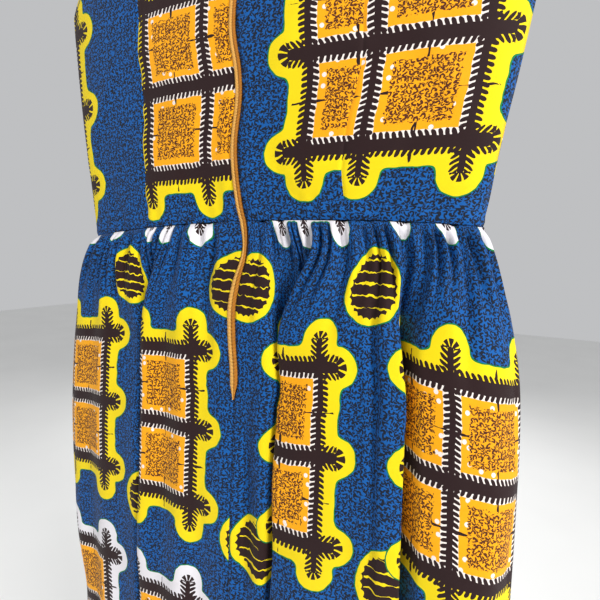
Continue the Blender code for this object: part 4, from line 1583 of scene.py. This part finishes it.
@dataclass
class Stitching:
    """Rows of machine stitches along edges of the cloth."""

    pitch: float = 0.0032
    length: float = 0.0024
    thickness: float = 0.00038
    lift: float = 0.00075

    def build(self, name: str, lines: list[StitchRow], material: bpy.types.Material) -> bpy.types.Object:
        """Makes the stitches.

        Args:
            name: the piece's name.
            lines: for each row of stitches its places, each with the direction out of the cloth.
            material: the thread's finish.

        Returns:
            The stitches, as one piece.
        """
        mesh = bmesh.new()
        stitch = bead("stitch", 6, 4)
        size = Matrix.Diagonal((self.thickness, self.thickness, self.length / 2, 1.0))
        for line in lines:
            for (start, outward), (end, _) in zip(line, line[1:]):
                along = (end - start).normalized()
                aside = along.cross(outward).normalized()
                turn = Matrix((aside, along.cross(aside), along)).transposed().to_4x4()
                middle = (start + end) / 2 + outward * self.lift
                set_in(mesh, stitch, Matrix.Translation(middle) @ turn @ size)
        bpy.data.meshes.remove(stitch)
        return solid(name, mesh, material)


@dataclass
class Studio:
    """The camera, the lights and the floor."""

    place: Vector = field(default_factory=lambda: Vector((0.197, -0.367, -0.545)))
    yaw: float = math.radians(21.6)
    pitch: float = math.radians(6.1)
    roll: float = math.radians(2.3)
    lens: float = 24.35
    floor_gap: float = 0.35

    def build(self) -> None:
        """Sets the camera, the lights and the floor."""
        self._camera()
        bpy.context.scene.view_settings.view_transform = "Standard"
        self._light("key", (1.9, -1.1, 0.4), (0.8, 0.8), 56.0)
        self._light("fill", (-1.3, -1.7, -0.1), (1.6, 1.6), 8.0)
        self._light("front", (-0.6, 2.0, 0.3), (1.6, 1.6), 34.0)
        self._floor()
        world = bpy.data.worlds.new("room")
        world.use_nodes = True
        world.node_tree.nodes["Background"].inputs["Color"].default_value = (0.93, 0.94, 0.96, 1.0)
        world.node_tree.nodes["Background"].inputs["Strength"].default_value = 0.56
        bpy.context.scene.world = world

    def _camera(self) -> None:
        """A camera close behind the dress, turned and tilted a little."""
        forward = Vector(
            (
                -math.sin(self.yaw) * math.cos(self.pitch),
                math.cos(self.yaw) * math.cos(self.pitch),
                -math.sin(self.pitch),
            )
        )
        level = Vector((math.cos(self.yaw), math.sin(self.yaw), 0.0))
        up = level.cross(forward)
        right = math.cos(self.roll) * level + math.sin(self.roll) * up
        above = math.cos(self.roll) * up - math.sin(self.roll) * level
        data = bpy.data.cameras.new("camera")
        data.lens = self.lens
        data.clip_start = 0.01
        camera = bpy.data.objects.new("camera", data)
        turned = Matrix((right, above, -forward)).transposed().to_4x4()
        camera.matrix_world = Matrix.Translation(self.place) @ turned
        bpy.context.collection.objects.link(camera)
        bpy.context.scene.camera = camera

    def _light(self, name: str, place: tuple, size: tuple, power: float) -> None:
        """A large soft lamp that points at the dress."""
        data = bpy.data.lights.new(name, "AREA")
        data.shape = "RECTANGLE"
        data.size, data.size_y = size
        data.energy = power
        lamp = bpy.data.objects.new(name, data)
        lamp.location = place
        toward = Vector((0.0, 0.0, -0.55)) - Vector(place)
        lamp.rotation_euler = toward.to_track_quat("-Z", "Y").to_euler()
        bpy.context.collection.objects.link(lamp)

    def _floor(self) -> None:
        """A plain pale floor under the dress."""
        mesh = bmesh.new()
        bmesh.ops.create_grid(mesh, x_segments=1, y_segments=1, size=6.0)
        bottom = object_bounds()[0][2] - self.floor_gap
        bmesh.ops.translate(mesh, vec=(0.0, 0.0, bottom), verts=list(mesh.verts))
        paint = PlainFinish(srgb(236, 236, 234), 0.7, grain=30.0, variation=0.02)
        solid("floor", mesh, paint.material("floor_paint"))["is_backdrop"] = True


def main() -> None:
    """Builds the cloth over the frame, dresses the hard pieces, and sets the studio."""
    logging.basicConfig(level=logging.INFO, format="%(message)s")
    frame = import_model()
    Studio().build()

    bodice, skirt = Bodice(), Skirt()
    left, right, front = bodice.build(WaxPrint(low_ovals=False))
    for piece, node, flat, area in (
        (left, "bodice_back_left", (0.28, 0.45), 0.110),
        (right, "bodice_back_right", (0.28, 0.45), 0.110),
        (front, "bodice_front", (0.56, 0.45), 0.215),
    ):
        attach(piece, "body")
        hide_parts(node)
        log.info("sewed %s", piece.name)
    for piece, node, width in zip(
        skirt.build(WaxPrint()),
        ("skirt_back_left", "skirt_back_right", "skirt_front"),
        (skirt.back_left.cloth, skirt.back_right.cloth, skirt.front_left.cloth + skirt.front_right.cloth),
    ):
        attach(piece, "body")
        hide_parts(node)
        log.info("sewed %s", piece.name)

    # One gold for both rows of the coil: the left row is lightened as painted light, the right row darkened
    # as painted shade.
    light = PlainFinish(srgb(240, 184, 92), 0.42, grain=900.0, relief=0.00002, variation=0.06)
    painted_shade_row = PlainFinish(srgb(205, 132, 34), 0.38, grain=900.0, relief=0.00002, variation=0.12)
    coil = Zip(bodice, skirt).build(light, painted_shade_row, "zip_coil_rows")
    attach(coil, "body")
    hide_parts("zip_chain")
    log.info("sewed in %s", coil.name)

    thread = PlainFinish(srgb(22, 58, 112), 0.55)
    for name, lines in (("stitches_bodice", bodice.edge_stitches()), ("stitches_hem", skirt.hem_stitches())):
        stitches = Stitching().build(name, lines, thread.material(name + "_thread"))
        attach(stitches, "body")
        log.info("stitched %s", name)

    finishes = {
        # The tapes are real, but their gold-brown is darkened as painted shade for the gaps beside the coil.
        "zip_tape_left": PlainFinish(srgb(104, 66, 20), 0.85),
        "zip_tape_right": PlainFinish(srgb(104, 66, 20), 0.85),
        "zip_slider": PlainFinish(srgb(214, 172, 92), 0.25, metallic=1.0, variation=0.05),
        "zip_pull_tab": PlainFinish(srgb(214, 172, 92), 0.25, metallic=1.0, variation=0.05),
        "hanger": PlainFinish(srgb(232, 232, 230), 0.38, grain=300.0, relief=0.00002, variation=0.02),
    }
    for node, finish in finishes.items():
        material = finish.material(node + "_finish")
        for held in frame["nodes"][node].material_slots:
            held.material = material
        log.info("finished %s", node)


if __name__ == "__main__":
    main()
